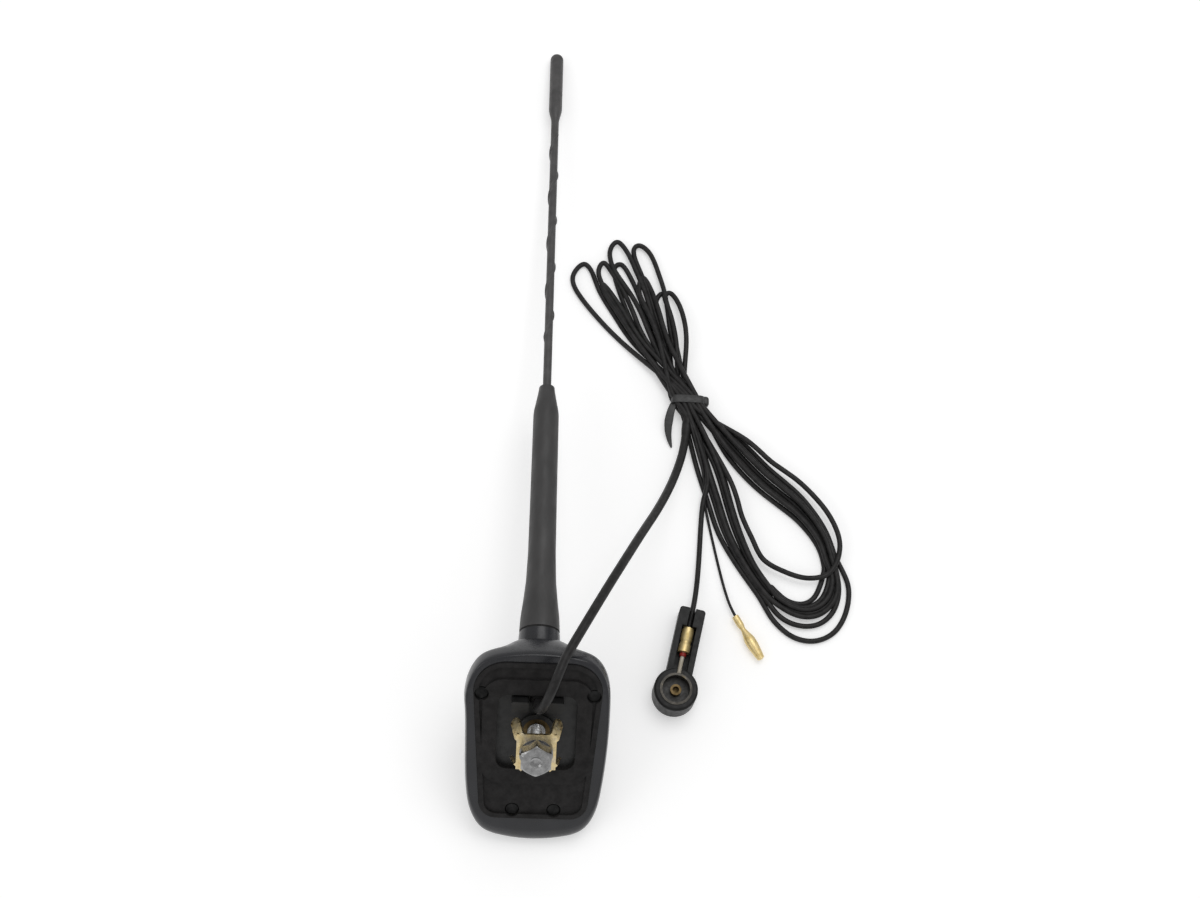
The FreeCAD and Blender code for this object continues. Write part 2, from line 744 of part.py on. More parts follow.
def spring_shape():
    down = Vector(0, mast_axis.z, -mast_axis.y)
    face = seat - mast_axis * (dim.socket_length + dim.socket_flange_height).value
    sheet_off = mast_axis * -dim.spring_sheet.value
    lip = 6 * dim.spring_sheet.value
    foot, front = board_top.value, dim.spring_foot_back.value
    bend = front + dim.spring_foot.value
    sole = foot + dim.spring_sheet.value
    corners = [
        Vector(0, front, foot), Vector(0, bend, foot), face - down * lip + sheet_off, face + sheet_off, face,
        face - down * 1.2 * lip, Vector(0, bend - dim.spring_sheet.value, sole), Vector(0, front, sole)]
    side = Vector(dim.spring_width.value, 0, 0)
    outline = [corner - side / 2 for corner in corners + corners[:1]]
    return Part.Face(Part.makePolygon(outline)).extrude(side)


spring = plain_feature("contact_spring", spring_shape())

# Rest: the antenna lies on its nose and on the mast tip

doc.recompute()
tip_centre = seat + mast_axis * (dim.mast_length - dim.tip_rounding).value
flip = FreeCAD.Placement(Vector(), FreeCAD.Rotation(Vector(0, 1, 0), 180))


def tilted(angle):
    return FreeCAD.Placement(Vector(), FreeCAD.Rotation(Vector(1, 0, 0), angle)).multiply(flip)


def box_of(shape, place):
    moved = shape.copy()
    moved.Placement = place.multiply(moved.Placement)
    return moved.optimalBoundingBox(False, False)


def tip_above_nose(angle):
    place = tilted(angle)
    return place.multVec(tip_centre).z - dim.tip_radius.value - box_of(outside_dome, place).ZMin


outside_dome = dome(0)
first, second = 40.0, 46.0
low_gap, high_gap = tip_above_nose(first), tip_above_nose(second)
for attempt in range(5):
    guess = first - low_gap * (second - first) / (high_gap - low_gap)
    first, low_gap = second, high_gap
    second, high_gap = guess, tip_above_nose(guess)
    if abs(high_gap) < 1e-4 or first == second:
        break
rest_tilt = second
nose_box = box_of(outside_dome, tilted(rest_tilt))
tip_end = tilted(rest_tilt).multVec(tip_centre).y + dim.tip_rounding.value
shift = Vector(0, -(nose_box.YMin + tip_end) / 2, -nose_box.ZMin)
rest = FreeCAD.Placement(shift, FreeCAD.Rotation()).multiply(tilted(rest_tilt))
print("rest tilt", round(rest_tilt, 4), "shift", shift)

on_mast = rest.multiply(FreeCAD.Placement(seat, mast_rake))
for piece in (whip, sleeve, stud, seal, socket):
    piece.Placement = on_mast
for piece in (cover, gasket, plate, threaded_insert, washer, bolt, base_screws, board_set, board, can, spring):
    piece.Placement = rest
quarter = FreeCAD.Placement(Vector(), FreeCAD.Rotation(Vector(0, 0, 1), 45))
claw.Placement = rest.multiply(quarter)
gland = Vector(0, dim.grommet_back.value, 0)
for piece in (grommet, inner_lead):
    piece.Placement = rest.multiply(FreeCAD.Placement(gland, FreeCAD.Rotation()))
coil_place = Vector(dim.coil_side.value, dim.coil_back.value, 0)
coil.Placement = rest.multiply(FreeCAD.Placement(coil_place, FreeCAD.Rotation()))


# Cords: straight runs joined by tangent arcs, swept with a round section

def cord_wire(label, points, radius):
    edges = []
    start = points[0]
    length = 0
    radii = []
    for before, here, after in zip(points, points[1:], points[2:]):
        back, ahead = before - here, after - here
        turn = math.pi - back.getAngle(ahead)
        reach = 0.45 * min(back.Length, ahead.Length)
        radii.append(reach / math.tan(turn / 2))
        back.normalize()
        ahead.normalize()
        enter, leave = here + back * reach, here + ahead * reach
        middle = back + ahead
        middle.normalize()
        inset = radii[-1] / math.cos(turn / 2) - radii[-1]
        edges.append(Part.LineSegment(start, enter).toShape())
        edges.append(Part.Arc(enter, here + middle * inset, leave).toShape())
        start = leave
    edges.append(Part.LineSegment(start, points[-1]).toShape())
    wire = Part.Wire(edges)
    smallest = round(min(radii) / (2 * radius), 2)
    print(label, "length", round(wire.Length, 1), "smallest radius in diameters", smallest,
          "radii", [round(r, 1) for r in radii])
    return wire


def cord(label, points, radius):
    route = [Vector(*point) for point in points]
    wire = cord_wire(label, route, radius)
    end_face = Part.Wire(Part.makeCircle(radius, route[0], route[1] - route[0]))
    tube = wire.makePipeShell([end_face], True, False)
    expected = math.pi * radius ** 2 * wire.Length
    if abs(tube.Volume / expected - 1) > 0.02:
        raise ValueError(f"{label}: tube volume differs from section times length")
    return plain_feature(label, tube)


exit_point = rest.multVec(gland + Vector(0, 0, (plate_bottom - dim.feed_stub).value))
feed_route = [
    tuple(exit_point), (0, -167.016, 59.595), (0.48, -169.14, 64.61), (1.87, -169.43, 70.17),
    (3.55, -167.53, 75.33), (5.58, -163.61, 79.37), (8.13, -156.99, 81.85), (10.9, -149.3, 80.3),
    (16.6, -138.3, 77.9), (22.8, -126.2, 74.2),
    (29.8, -112.2, 67.6), (37.4, -97, 58.6), (45.7, -80.1, 47), (54, -63.4, 32.4), (61.1, -46.8, 18.6),
    (66.5, -31.6, 9), (70.2, -18, 5), (71.6, -5.5, 4.6)]
feed = cord("feed_cable", feed_route, dim.feed_radius.value)
coax_route = [
    (82, -36, 4.4), (79.6, -46.4, 3), (78.6, -57.4, 1.9), (77.9, -70, 1.4), (76.9, -83.6, 2.2),
    (74.89, -98.62, 5.5), (71.853, -112.899, 5.5)]
coax = cord("coax_tail", coax_route, dim.coax_radius.value)
power_route = [
    (80.6, -37, 2.2), (80.4, -46.8, 1.4), (82.4, -57, 0.9), (84.8, -68.4, 0.8), (87.3, -80, 0.8),
    (90, -91.6, 1.3), (93.01, -102.09, 2.75), (97.357, -109.397, 2.75)]
power = cord("power_tail", power_route, dim.wire_radius.value)

# Hank: one slab of the outline of the tied turns, two lobes and a waist, with the tie round the waist
hank_outline = [
    (55.2, 21), (26.6, 52.2), (12, 76.6), (19.1, 88), (34.2, 101), (53.3, 93.6), (68, 64.7), (73.2, 38.8),
    (80.6, 16.5), (81, 6.3), (83, -4), (98.8, -15), (122.6, -34.2), (145.5, -55.1), (153, -90),
    (145.3, -111.5), (131.5, -119), (115.7, -111), (97.7, -85.5), (84.7, -60.1), (72, -30.4), (65.6, -4), (65.2, 6.3)]
tie_centre = Vector(73.1, 6.3, 0)
waist_half = 7.9


def tie_shape():
    sheet_thickness, width = dim.tie_sheet.value, dim.tie_width.value
    half, top = waist_half + sheet_thickness, dim.hank_height.value + sheet_thickness
    corner = tie_centre + Vector(-half, -width / 2, 0)
    band = Part.makeBox(2 * half, width, top, corner)
    inside = Part.makeBox(2 * waist_half, width, top - 2 * sheet_thickness,
                          tie_centre + Vector(-waist_half, -width / 2, sheet_thickness))
    knob = Part.makeBox(dim.tie_knob.value / 2, width, dim.tie_knob.value,
                        tie_centre + Vector(half, -width / 2, sheet_thickness))
    band = band.makeFillet(sheet_thickness, [e for e in band.Edges if e.BoundBox.YLength > width - 1e-6])
    return band.cut(inside).fuse(knob).removeSplitter()


tie = plain_feature("cable_tie", tie_shape())


def hank_shape():
    curve = Part.BSplineCurve()
    curve.interpolate(Points=[Vector(x, y, 0) for x, y in hank_outline], PeriodicFlag=True)
    slab = Part.Face(Part.Wire(curve.toShape())).extrude(Vector(0, 0, dim.hank_height.value))
    width, sheet_thickness = dim.tie_width.value, dim.tie_sheet.value
    reach = 4 * waist_half
    around = Part.makeBox(2 * reach, width, 2 * dim.hank_height.value, tie_centre - Vector(reach, width / 2, 0))
    core = Part.makeBox(2 * waist_half, width, dim.hank_height.value - sheet_thickness,
                        tie_centre + Vector(-waist_half, -width / 2, sheet_thickness))
    return slab.cut(around.cut(core))


hank = plain_feature("cable_hank", hank_shape())

# Aerial plug: an angled housing with a window along its arm, drawn from the axis of its round head
plug = new_body("plug_housing")
head_sketch = new_sketch(plug, "XY_Plane")
draw_circle(head_sketch, 0, 0, dim.plug_head_radius)
raise_pad(plug, head_sketch, dim.plug_head_height)
round_edges(plug, dim.plug_head_round, ring_at(dim.plug_head_height, dim.plug_head_radius))
arm_sketch = new_sketch(plug, "XY_Plane")
draw_box(arm_sketch, -dim.plug_arm_width / 2, dim.plug_arm_width / 2, 0, dim.plug_arm)
raise_pad(plug, arm_sketch, dim.plug_arm_height)
arm_end = dim.plug_arm.value - dim.plug_arm_round.value
round_edges(plug, dim.plug_arm_round, lambda edge: is_upright(edge) and edge.CenterOfMass.y > arm_end)
bore_sketch = new_sketch(plug, "XY_Plane", dim.plug_head_height)
draw_circle(bore_sketch, 0, 0, dim.plug_ring_radius)
sink_pocket(plug, bore_sketch, dim.plug_head_height - dim.plug_ring_floor)
ferrule_height = dim.plug_floor + dim.ferrule_radius
window_sketch = new_sketch(plug, "XY_Plane", dim.plug_head_height)
draw_box(window_sketch, -dim.plug_window_width / 2, dim.plug_window_width / 2,
         dim.plug_window_start, dim.plug_window_end)
sink_pocket(plug, window_sketch, dim.plug_head_height - dim.plug_floor)
slot_sketch = new_sketch(plug, "XY_Plane", dim.plug_head_height)
slot_half = dim.coax_radius + dim.core_gap
draw_box(slot_sketch, -slot_half, slot_half, 0, dim.plug_arm + overcut)
sink_pocket(plug, slot_sketch, dim.plug_head_height - ferrule_height + slot_half)

ring_low = dim.plug_ring_floor
ring_top = dim.plug_head_height + dim.plug_ring_proud
ring_inner = dim.plug_ring_radius - dim.plug_ring_wall
ring = turned("plug_ring", tube_profile(ring_inner, dim.plug_ring_radius, ring_low, ring_top))
insulator_top = ring_low + dim.plug_core_height
insulator = turned("plug_insulator", tube_profile(dim.plug_contact_radius, ring_inner, ring_low, insulator_top))
core_half = dim.core_radius + dim.core_gap
for piece, outer in ((ring, dim.plug_ring_radius), (insulator, ring_inner)):
    notch_sketch = new_sketch(piece, "XY_Plane", ferrule_height + core_half)
    draw_box(notch_sketch, -core_half, core_half, dim.plug_contact_radius / 2, outer + overcut)
    sink_pocket(piece, notch_sketch, core_half * 2 + dim.plug_floor)
contact = turned("plug_contact", [
    (0, ring_low), (dim.plug_contact_radius, ring_low),
    (dim.plug_contact_radius, ring_low + dim.plug_contact_height),
    (dim.plug_contact_bore, ring_low + dim.plug_contact_height), (dim.plug_contact_bore, insulator_top),
    (0, insulator_top)])
ridge_radius = dim.ferrule_radius - dim.ferrule_ridge
ferrule = turned("crimp_ferrule", [
    (dim.core_radius, 0), (dim.ferrule_radius, 0), (dim.ferrule_radius, dim.ferrule_length * 0.3),
    (ridge_radius, dim.ferrule_length * 0.36), (ridge_radius, dim.ferrule_length * 0.44),
    (dim.ferrule_radius, dim.ferrule_length * 0.5), (dim.ferrule_radius, dim.ferrule_length),
    (dim.core_radius, dim.ferrule_length)])
core_length = dim.plug_window_end - dim.plug_contact_radius
core = turned("coax_core", tube_profile(0, dim.core_radius, 0, core_length))

# Power terminal: a crimped bullet with a spring slot across its nose
crimp_end = dim.terminal_crimp
terminal = turned("power_terminal", [
    (dim.wire_radius, 0), (dim.terminal_crimp_radius, 0), (dim.terminal_crimp_radius, crimp_end),
    (dim.terminal_neck, crimp_end + dim.terminal_neck), (dim.terminal_neck, crimp_end + dim.terminal_neck * 2),
    (dim.terminal_radius, crimp_end + dim.terminal_neck * 4), (dim.terminal_radius, dim.terminal_length),
    (0, dim.terminal_length), (0, dim.terminal_bore_depth), (dim.wire_radius, dim.terminal_bore_depth)])
round_edges(terminal, dim.terminal_nose, ring_at(dim.terminal_length, dim.terminal_radius))
split_sketch = new_sketch(terminal, "XY_Plane", dim.terminal_length)
draw_box(split_sketch, -dim.terminal_slot / 2, dim.terminal_slot / 2,
         -dim.terminal_radius - overcut, dim.terminal_radius + overcut)
sink_pocket(terminal, split_sketch, dim.terminal_slot_length)

plug_place = FreeCAD.Placement(Vector(65.2, -144.2, 0), FreeCAD.Rotation(Vector(0, 0, 1), -12))
for piece in (plug, ring, insulator, contact):
    piece.Placement = plug_place
along_arm = FreeCAD.Rotation(Vector(1, 0, 0), -90)
ferrule_start = Vector(0, (dim.plug_window_end - dim.ferrule_length).value, ferrule_height.value)
ferrule.Placement = plug_place.multiply(FreeCAD.Placement(ferrule_start, along_arm))
core_start = Vector(0, dim.plug_contact_radius.value, ferrule_height.value)
core.Placement = plug_place.multiply(FreeCAD.Placement(core_start, along_arm))
terminal_way = Vector(12.2, -20.5, 0)
terminal_turn = FreeCAD.Rotation(Vector(0, 0, 1), terminal_way)
terminal.Placement = FreeCAD.Placement(Vector(94.8, -105.1, dim.terminal_radius.value), terminal_turn)

# Check every object, then write one file for each sub-part
doc.recompute()
for item in doc.Objects:
    if "Invalid" in item.State or "Error" in item.State:
        raise ValueError(f"{item.Label} failed: {item.State}")
pieces = [
    cover, gasket, plate, threaded_insert, grommet, inner_lead, claw, washer, bolt, base_screws, board_set,
    board, can, coil, spring, socket, seal, sleeve, stud, whip, feed, coax, power, hank, tie,
    plug, ring, insulator, contact, ferrule, core, terminal]
for piece in pieces:
    if piece.Shape.isNull() or not piece.Shape.isValid():
        raise ValueError(f"{piece.Label} has no valid shape")
os.makedirs("parts", exist_ok=True)
for piece in pieces:
    piece.Shape.exportStep(os.path.join("parts", piece.Label + ".step"))
    solids = piece.Shape.Solids
    print(piece.Label, len(solids), "solids", round(piece.Shape.Volume, 1), "mm3")
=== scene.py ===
import bpy
import json
import math
import numpy as np
from mathutils import Matrix


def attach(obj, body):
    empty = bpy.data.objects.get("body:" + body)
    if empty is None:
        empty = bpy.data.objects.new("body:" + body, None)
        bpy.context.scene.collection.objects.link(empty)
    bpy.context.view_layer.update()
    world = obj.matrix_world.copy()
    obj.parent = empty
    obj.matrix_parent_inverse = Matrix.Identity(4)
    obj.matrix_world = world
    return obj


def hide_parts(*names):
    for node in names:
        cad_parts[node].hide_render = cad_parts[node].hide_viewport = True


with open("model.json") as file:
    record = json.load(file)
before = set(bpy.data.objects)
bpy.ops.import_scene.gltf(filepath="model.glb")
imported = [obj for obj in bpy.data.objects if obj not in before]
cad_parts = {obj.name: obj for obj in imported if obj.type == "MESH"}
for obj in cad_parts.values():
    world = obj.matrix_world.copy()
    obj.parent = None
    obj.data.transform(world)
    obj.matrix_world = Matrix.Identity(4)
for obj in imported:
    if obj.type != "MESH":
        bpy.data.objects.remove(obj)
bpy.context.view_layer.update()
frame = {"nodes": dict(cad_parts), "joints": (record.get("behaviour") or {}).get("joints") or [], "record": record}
scene = bpy.context.scene
mm = 0.001
print("frame loaded:", len(frame["nodes"]), "nodes")

# Camera: stands over the foot and looks down along the mast, rolled a little
cameraSpec = {"place": (-0.0130, -0.3380, 0.7655), "yaw": 7.35, "pitch": -67.23, "roll": 9.06,
              "focal": 1654.2, "imageWidth": 1200, "sensor": 36}
yaw, pitch, roll = np.radians([cameraSpec["yaw"], cameraSpec["pitch"], cameraSpec["roll"]])
ahead = np.array([math.sin(yaw) * math.cos(pitch), math.cos(yaw) * math.cos(pitch), math.sin(pitch)])
level = np.array([math.cos(yaw), -math.sin(yaw), 0])
upward = np.cross(level, ahead)
rolledRight = level * math.cos(roll) + upward * math.sin(roll)
rolledUp = upward * math.cos(roll) - level * math.sin(roll)
cameraData = bpy.data.cameras.new("photoCamera")
cameraData.sensor_width = cameraSpec["sensor"]
cameraData.lens = cameraSpec["focal"] * cameraSpec["sensor"] / cameraSpec["imageWidth"]
cameraObject = bpy.data.objects.new("photoCamera", cameraData)
scene.collection.objects.link(cameraObject)
pose = np.eye(4)
pose[:3, 0], pose[:3, 1], pose[:3, 2], pose[:3, 3] = rolledRight, rolledUp, -ahead, cameraSpec["place"]
cameraObject.matrix_world = Matrix(pose.tolist())
scene.camera = cameraObject


# Node trees: every finish is a slow blotch of two shades, a wandering gloss and a fine lifted grain
noiseSpec = {"low": 0.3, "high": 0.7, "blotchDetail": 5.0, "glossDetail": 3.0, "grainDetail": 2.0, "glossScale": 2.3,
             "grainDepth": 0.0002}


def newTree(name):
    material = bpy.data.materials.new(name)
    material.use_nodes = True
    tree = material.node_tree
    tree.nodes.clear()
    return material, tree


def addNode(tree, kind, **values):
    node = tree.nodes.new(kind)
    for key, value in values.items():
        if hasattr(node, key):
            setattr(node, key, value)
        else:
            node.inputs[key.replace("_", " ")].default_value = value
    return node


def objectNoise(tree, scale, detail, stretch):
    where = addNode(tree, "ShaderNodeTexCoord")
    mapping = addNode(tree, "ShaderNodeMapping")
    mapping.inputs["Scale"].default_value = stretch
    noise = addNode(tree, "ShaderNodeTexNoise", Scale=scale, Detail=detail)
    tree.links.new(where.outputs["Object"], mapping.inputs["Vector"])
    tree.links.new(mapping.outputs["Vector"], noise.inputs["Vector"])
    return noise.outputs["Fac"]


def shadeRamp(tree, driver, stops):
    ramp = addNode(tree, "ShaderNodeValToRGB")
    ramp.color_ramp.elements[0].position = stops[0][0]
    ramp.color_ramp.elements[0].color = (*stops[0][1], 1)
    ramp.color_ramp.elements[1].position = stops[-1][0]
    ramp.color_ramp.elements[1].color = (*stops[-1][1], 1)
    for place, colour in stops[1:-1]:
        ramp.color_ramp.elements.new(place).color = (*colour, 1)
    tree.links.new(driver, ramp.inputs["Fac"])
    return ramp.outputs["Color"]


def spanOf(tree, driver, low, high):
    span = addNode(tree, "ShaderNodeMapRange", From_Min=noiseSpec["low"], From_Max=noiseSpec["high"], To_Min=low,
                   To_Max=high)
    tree.links.new(driver, span.inputs["Value"])
    return span.outputs["Result"]


def blotchedFinish(name, spec):
    # colour = ramp of slow noise; gloss = range of a second noise; normal = bump of a fine noise
    material, tree = newTree(name)
    stretch = spec.get("stretch", (1, 1, 1))
    shader = addNode(tree, "ShaderNodeBsdfPrincipled")
    shader.inputs["Metallic"].default_value = spec.get("metal", 0)
    shader.inputs["Specular IOR Level"].default_value = spec.get("specular", 0.5)
    blotch = objectNoise(tree, spec["blotch"], noiseSpec["blotchDetail"], stretch)
    tree.links.new(shadeRamp(tree, blotch, spec["shades"]), shader.inputs["Base Color"])
    wander = objectNoise(tree, spec["blotch"] * noiseSpec["glossScale"], noiseSpec["glossDetail"], stretch)
    tree.links.new(spanOf(tree, wander, *spec["rough"]), shader.inputs["Roughness"])
    bump = addNode(tree, "ShaderNodeBump", Strength=spec["lift"], Distance=noiseSpec["grainDepth"])
    tree.links.new(objectNoise(tree, spec["grain"], noiseSpec["grainDetail"], stretch), bump.inputs["Height"])
    tree.links.new(bump.outputs["Normal"], shader.inputs["Normal"])
    output = addNode(tree, "ShaderNodeOutputMaterial")
    tree.links.new(shader.outputs["BSDF"], output.inputs["Surface"])
    return material


def greys(low, high, warm=1.0):
    return [(0.3, (low * warm, low, low)), (0.7, (high * warm, high, high))]


finishes = {
    "coverPlastic": {"shades": [(0.3, (0.011, 0.0115, 0.014)), (0.7, (0.017, 0.0175, 0.021))], "blotch": 90,
                     "rough": (0.2, 0.3), "grain": 2600, "lift": 0.12, "specular": 0.5},
    "gasketRubber": {"shades": greys(0.009, 0.02, 1.06), "blotch": 240, "rough": (0.55, 0.8), "grain": 1500,
                     "lift": 0.35, "specular": 0.2},
    "platePlastic": {"shades": greys(0.007, 0.013), "blotch": 160, "rough": (0.4, 0.6), "grain": 2200, "lift": 0.2},
    "brightZinc": {"shades": greys(0.22, 0.36), "blotch": 420, "rough": (0.16, 0.4), "grain": 1800, "lift": 0.2,
                   "metal": 1},
    "yellowZinc": {"shades": [(0.25, (0.62, 0.44, 0.2)), (0.5, (0.78, 0.64, 0.36)), (0.75, (0.6, 0.52, 0.4))],
                   "blotch": 300, "rough": (0.22, 0.45), "grain": 1600, "lift": 0.2, "metal": 1},
    "darkZinc": {"shades": greys(0.012, 0.03), "blotch": 400, "rough": (0.4, 0.6), "grain": 1600, "lift": 0.2,
                 "metal": 1},
    "sleeveRubber": {"shades": greys(0.026, 0.046, 1.03), "blotch": 120, "rough": (0.42, 0.62), "grain": 1800,
                     "lift": 0.3, "stretch": (1, 0.4, 1)},
    "whipSkin": {"shades": greys(0.04, 0.07, 1.03), "blotch": 180, "rough": (0.4, 0.58), "grain": 2400, "lift": 0.2},
    "cableJacket": {"shades": greys(0.012, 0.026, 1.04), "blotch": 300, "rough": (0.34, 0.55), "grain": 2600,
                    "lift": 0.15, "specular": 0.2},
    "tiePlastic": {"shades": greys(0.018, 0.032), "blotch": 300, "rough": (0.4, 0.6), "grain": 2000, "lift": 0.2},
    "plugPlastic": {"shades": greys(0.006, 0.013), "blotch": 200, "rough": (0.34, 0.5), "grain": 2200, "lift": 0.18,
                    "specular": 0.22},
    "nickel": {"shades": greys(0.45, 0.66), "blotch": 380, "rough": (0.2, 0.42), "grain": 1500, "lift": 0.15,
               "metal": 1},
    "brass": {"shades": [(0.3, (0.66, 0.45, 0.16)), (0.7, (0.86, 0.66, 0.32))], "blotch": 320, "rough": (0.18, 0.38),
              "grain": 1500, "lift": 0.15, "metal": 1},
    "satinBrass": {"shades": [(0.3, (0.72, 0.53, 0.2)), (0.55, (0.9, 0.72, 0.36)), (0.75, (0.8, 0.58, 0.24))],
                   "blotch": 520, "rough": (0.32, 0.5), "grain": 1400, "lift": 0.2, "metal": 0.55},
    "agedNickel": {"shades": [(0.3, (0.05, 0.047, 0.042)), (0.62, (0.1, 0.092, 0.08)), (0.75, (0.22, 0.17, 0.08))],
                   "blotch": 420, "rough": (0.4, 0.6), "grain": 1500, "lift": 0.25, "metal": 0.8},
    "darkInsulator": {"shades": [(0.3, (0.012, 0.011, 0.01)), (0.7, (0.03, 0.028, 0.024))], "blotch": 420,
                      "rough": (0.4, 0.6), "grain": 1800, "lift": 0.2},
    # painted shade: brass darkened to near black, for the threaded insert in the shaded gap under the claw and bolt and
    # for the contact deep in the plug
    "shadeDarkBrass": {"shades": [(0.3, (0.1, 0.07, 0.03)), (0.7, (0.17, 0.12, 0.06))], "blotch": 320, "rough": (0.4, 0.6),
                  "grain": 1500, "lift": 0.15, "metal": 1},
    "naturalPlastic": {"shades": [(0.3, (0.5, 0.44, 0.34)), (0.7, (0.66, 0.6, 0.5))], "blotch": 260,
                       "rough": (0.4, 0.55), "grain": 1800, "lift": 0.15},
    "copper": {"shades": [(0.3, (0.5, 0.2, 0.09)), (0.7, (0.7, 0.33, 0.16))], "blotch": 300, "rough": (0.2, 0.4),
               "grain": 1500, "lift": 0.2, "metal": 1},
    "greenLaminate": {"shades": [(0.3, (0.012, 0.1, 0.04)), (0.7, (0.02, 0.15, 0.06))], "blotch": 260,
                      "rough": (0.25, 0.4), "grain": 1800, "lift": 0.1},
    "redSleeve": {"shades": [(0.3, (0.3, 0.02, 0.015)), (0.7, (0.45, 0.04, 0.03))], "blotch": 400,
                  "rough": (0.35, 0.5), "grain": 2000, "lift": 0.15},
}
paint = {name: blotchedFinish(name, spec) for name, spec in finishes.items()}
nodeFinish = {
    "base_cover": "coverPlastic", "seal_gasket": "gasketRubber", "base_plate": "platePlastic",
    # threaded_insert and plug_contact take the brass darkened as painted shade
    "threaded_insert": "shadeDarkBrass", "cable_grommet": "gasketRubber", "inner_lead": "cableJacket",
    "claw_clamp": "yellowZinc", "lock_washer": "brightZinc", "fixing_bolt": "brightZinc", "base_screws": "darkZinc",
    "board_screws": "brightZinc", "amplifier_board": "greenLaminate", "screening_can": "nickel",
    "choke_coil": "copper", "contact_spring": "brass", "mast_socket": "nickel", "mast_seal_ring": "gasketRubber",
    "mast_sleeve": "sleeveRubber", "mast_stud": "nickel", "mast_whip": "whipSkin", "feed_cable": "cableJacket",
    "coax_tail": "cableJacket", "power_tail": "cableJacket", "cable_hank": "cableJacket", "cable_tie": "tiePlastic",
    "plug_housing": "plugPlastic", "plug_ring": "agedNickel", "plug_insulator": "darkInsulator",
    "plug_contact": "shadeDarkBrass", "crimp_ferrule": "satinBrass", "coax_core": "naturalPlastic",
    "power_terminal": "satinBrass",
}
bodyOf = {node: body for body, members in frame["record"]["behaviour"]["bodies"].items() for node in members}
for node, finish in nodeFinish.items():
    held = frame["nodes"][node]
    held.data.materials.clear()
    held.data.materials.append(paint[finish])
print("finishes:", len(paint))


# Meshes from arrays
def putMesh(name, points, quads, triangles, finish, body, sharp=35):
    mesh = bpy.data.meshes.new(name)
    faces = [list(map(int, face)) for face in quads] + [list(map(int, face)) for face in triangles]
    mesh.from_pydata(np.asarray(points, float).tolist(), [], faces)
    mesh.validate()
    mesh.shade_smooth()
    mesh.set_sharp_from_angle(angle=math.radians(sharp))
    mesh.materials.append(paint[finish])
    piece = bpy.data.objects.new(name, mesh)
    scene.collection.objects.link(piece)
    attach(piece, body)
    return piece


def gridFaces(rows, columns, wrapRows=False):
    # quads of a grid of rows by columns, closed round its columns and, where asked, round its rows
    rowEnd = rows if wrapRows else rows - 1
    i, j = np.meshgrid(np.arange(rowEnd), np.arange(columns), indexing="ij")
    nextRow, nextColumn = (i + 1) % rows, (j + 1) % columns
    corners = [i * columns + j, i * columns + nextColumn, nextRow * columns + nextColumn, nextRow * columns + j]
    return np.stack(corners, axis=-1).reshape(-1, 4)


def poleFaces(rows, columns):
    # fans that close a grid's first and last row; the two poles follow the grid's points
    rim = np.arange(columns)
    after = (rim + 1) % columns
    lastRow = (rows - 1) * columns
    first = np.stack([np.full(columns, rows * columns), after, rim], axis=-1)
    last = np.stack([np.full(columns, rows * columns + 1), lastRow + rim, lastRow + after], axis=-1)
    return np.concatenate([first, last])


def squareWave(wave, power):
    # a sine or cosine raised to a power with its sign kept: below 1 it makes a circle squarer
    return np.sign(wave) * np.abs(wave) ** power


def roundAngles(count):
    return np.linspace(0, 2 * np.pi, count, endpoint=False)


def unit(vector):
    return vector / np.linalg.norm(vector)


def lathe(name, stations, radii, origin, axis, side, finish, body, segments=64, sharp=35):
    # point = origin + axis * station + radius * (side cos a + (axis x side) sin a); radii may be a grid over a
    stations = np.asarray(stations, float)
    radii = np.asarray(radii, float)
    if radii.ndim == 1:
        radii = np.repeat(radii[:, None], segments, axis=1)
    angles = roundAngles(radii.shape[1])
    axis, side = np.asarray(axis, float), np.asarray(side, float)
    round3 = np.cos(angles)[:, None] * side + np.sin(angles)[:, None] * np.cross(axis, side)
    points = np.asarray(origin) + axis * stations[:, None, None] + radii[..., None] * round3
    count, segments = radii.shape
    poles = np.array([origin + axis * stations[0], origin + axis * stations[-1]])
    allPoints = np.concatenate([points.reshape(-1, 3), poles])
    return putMesh(name, allPoints, gridFaces(count, segments), poleFaces(count, segments), finish, body, sharp)


def smoothProfile(marks, step=0.0005, spread=5):
    # straight profile between marks, then a running mean over a few steps; the ends stay
    places, values = np.array(marks, float).T
    along = np.arange(places[0], places[-1] + step / 2, step)
    padded = np.interp(np.pad(along, spread, "edge"), places, values)
    kernel = np.ones(2 * spread + 1) / (2 * spread + 1)
    return along, np.convolve(padded, kernel, mode="valid")


mergeStep = 2e-6


def dressNode(node, sharp=30):
    # the node's own triangles with their corners merged, shaded smooth up to a fold angle
    source = frame["nodes"][node].data
    points = np.empty(len(source.vertices) * 3)
    source.vertices.foreach_get("co", points)
    corners = np.empty(len(source.polygons) * 3, int)
    source.polygons.foreach_get("vertices", corners)
    keys = np.round(points.reshape(-1, 3) / mergeStep).astype(np.int64)
    _, first, joined = np.unique(keys, axis=0, return_index=True, return_inverse=True)
    faces = joined.reshape(-1)[corners].reshape(-1, 3)
    faces = faces[(faces[:, 0] != faces[:, 1]) & (faces[:, 1] != faces[:, 2]) & (faces[:, 0] != faces[:, 2])]
    piece = putMesh(node + "_skin", points.reshape(-1, 3)[first], np.empty((0, 4), int), faces, nodeFinish[node],
                    bodyOf[node], sharp)
    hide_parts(node)
    return piece


skins = {node: dressNode(node) for node in (
    "base_cover", "seal_gasket", "base_plate", "claw_clamp", "lock_washer", "cable_grommet", "base_screws",
    "mast_seal_ring", "plug_housing", "plug_ring", "plug_insulator", "plug_contact", "crimp_ferrule", "coax_core")}
print("dressed nodes:", len(skins))

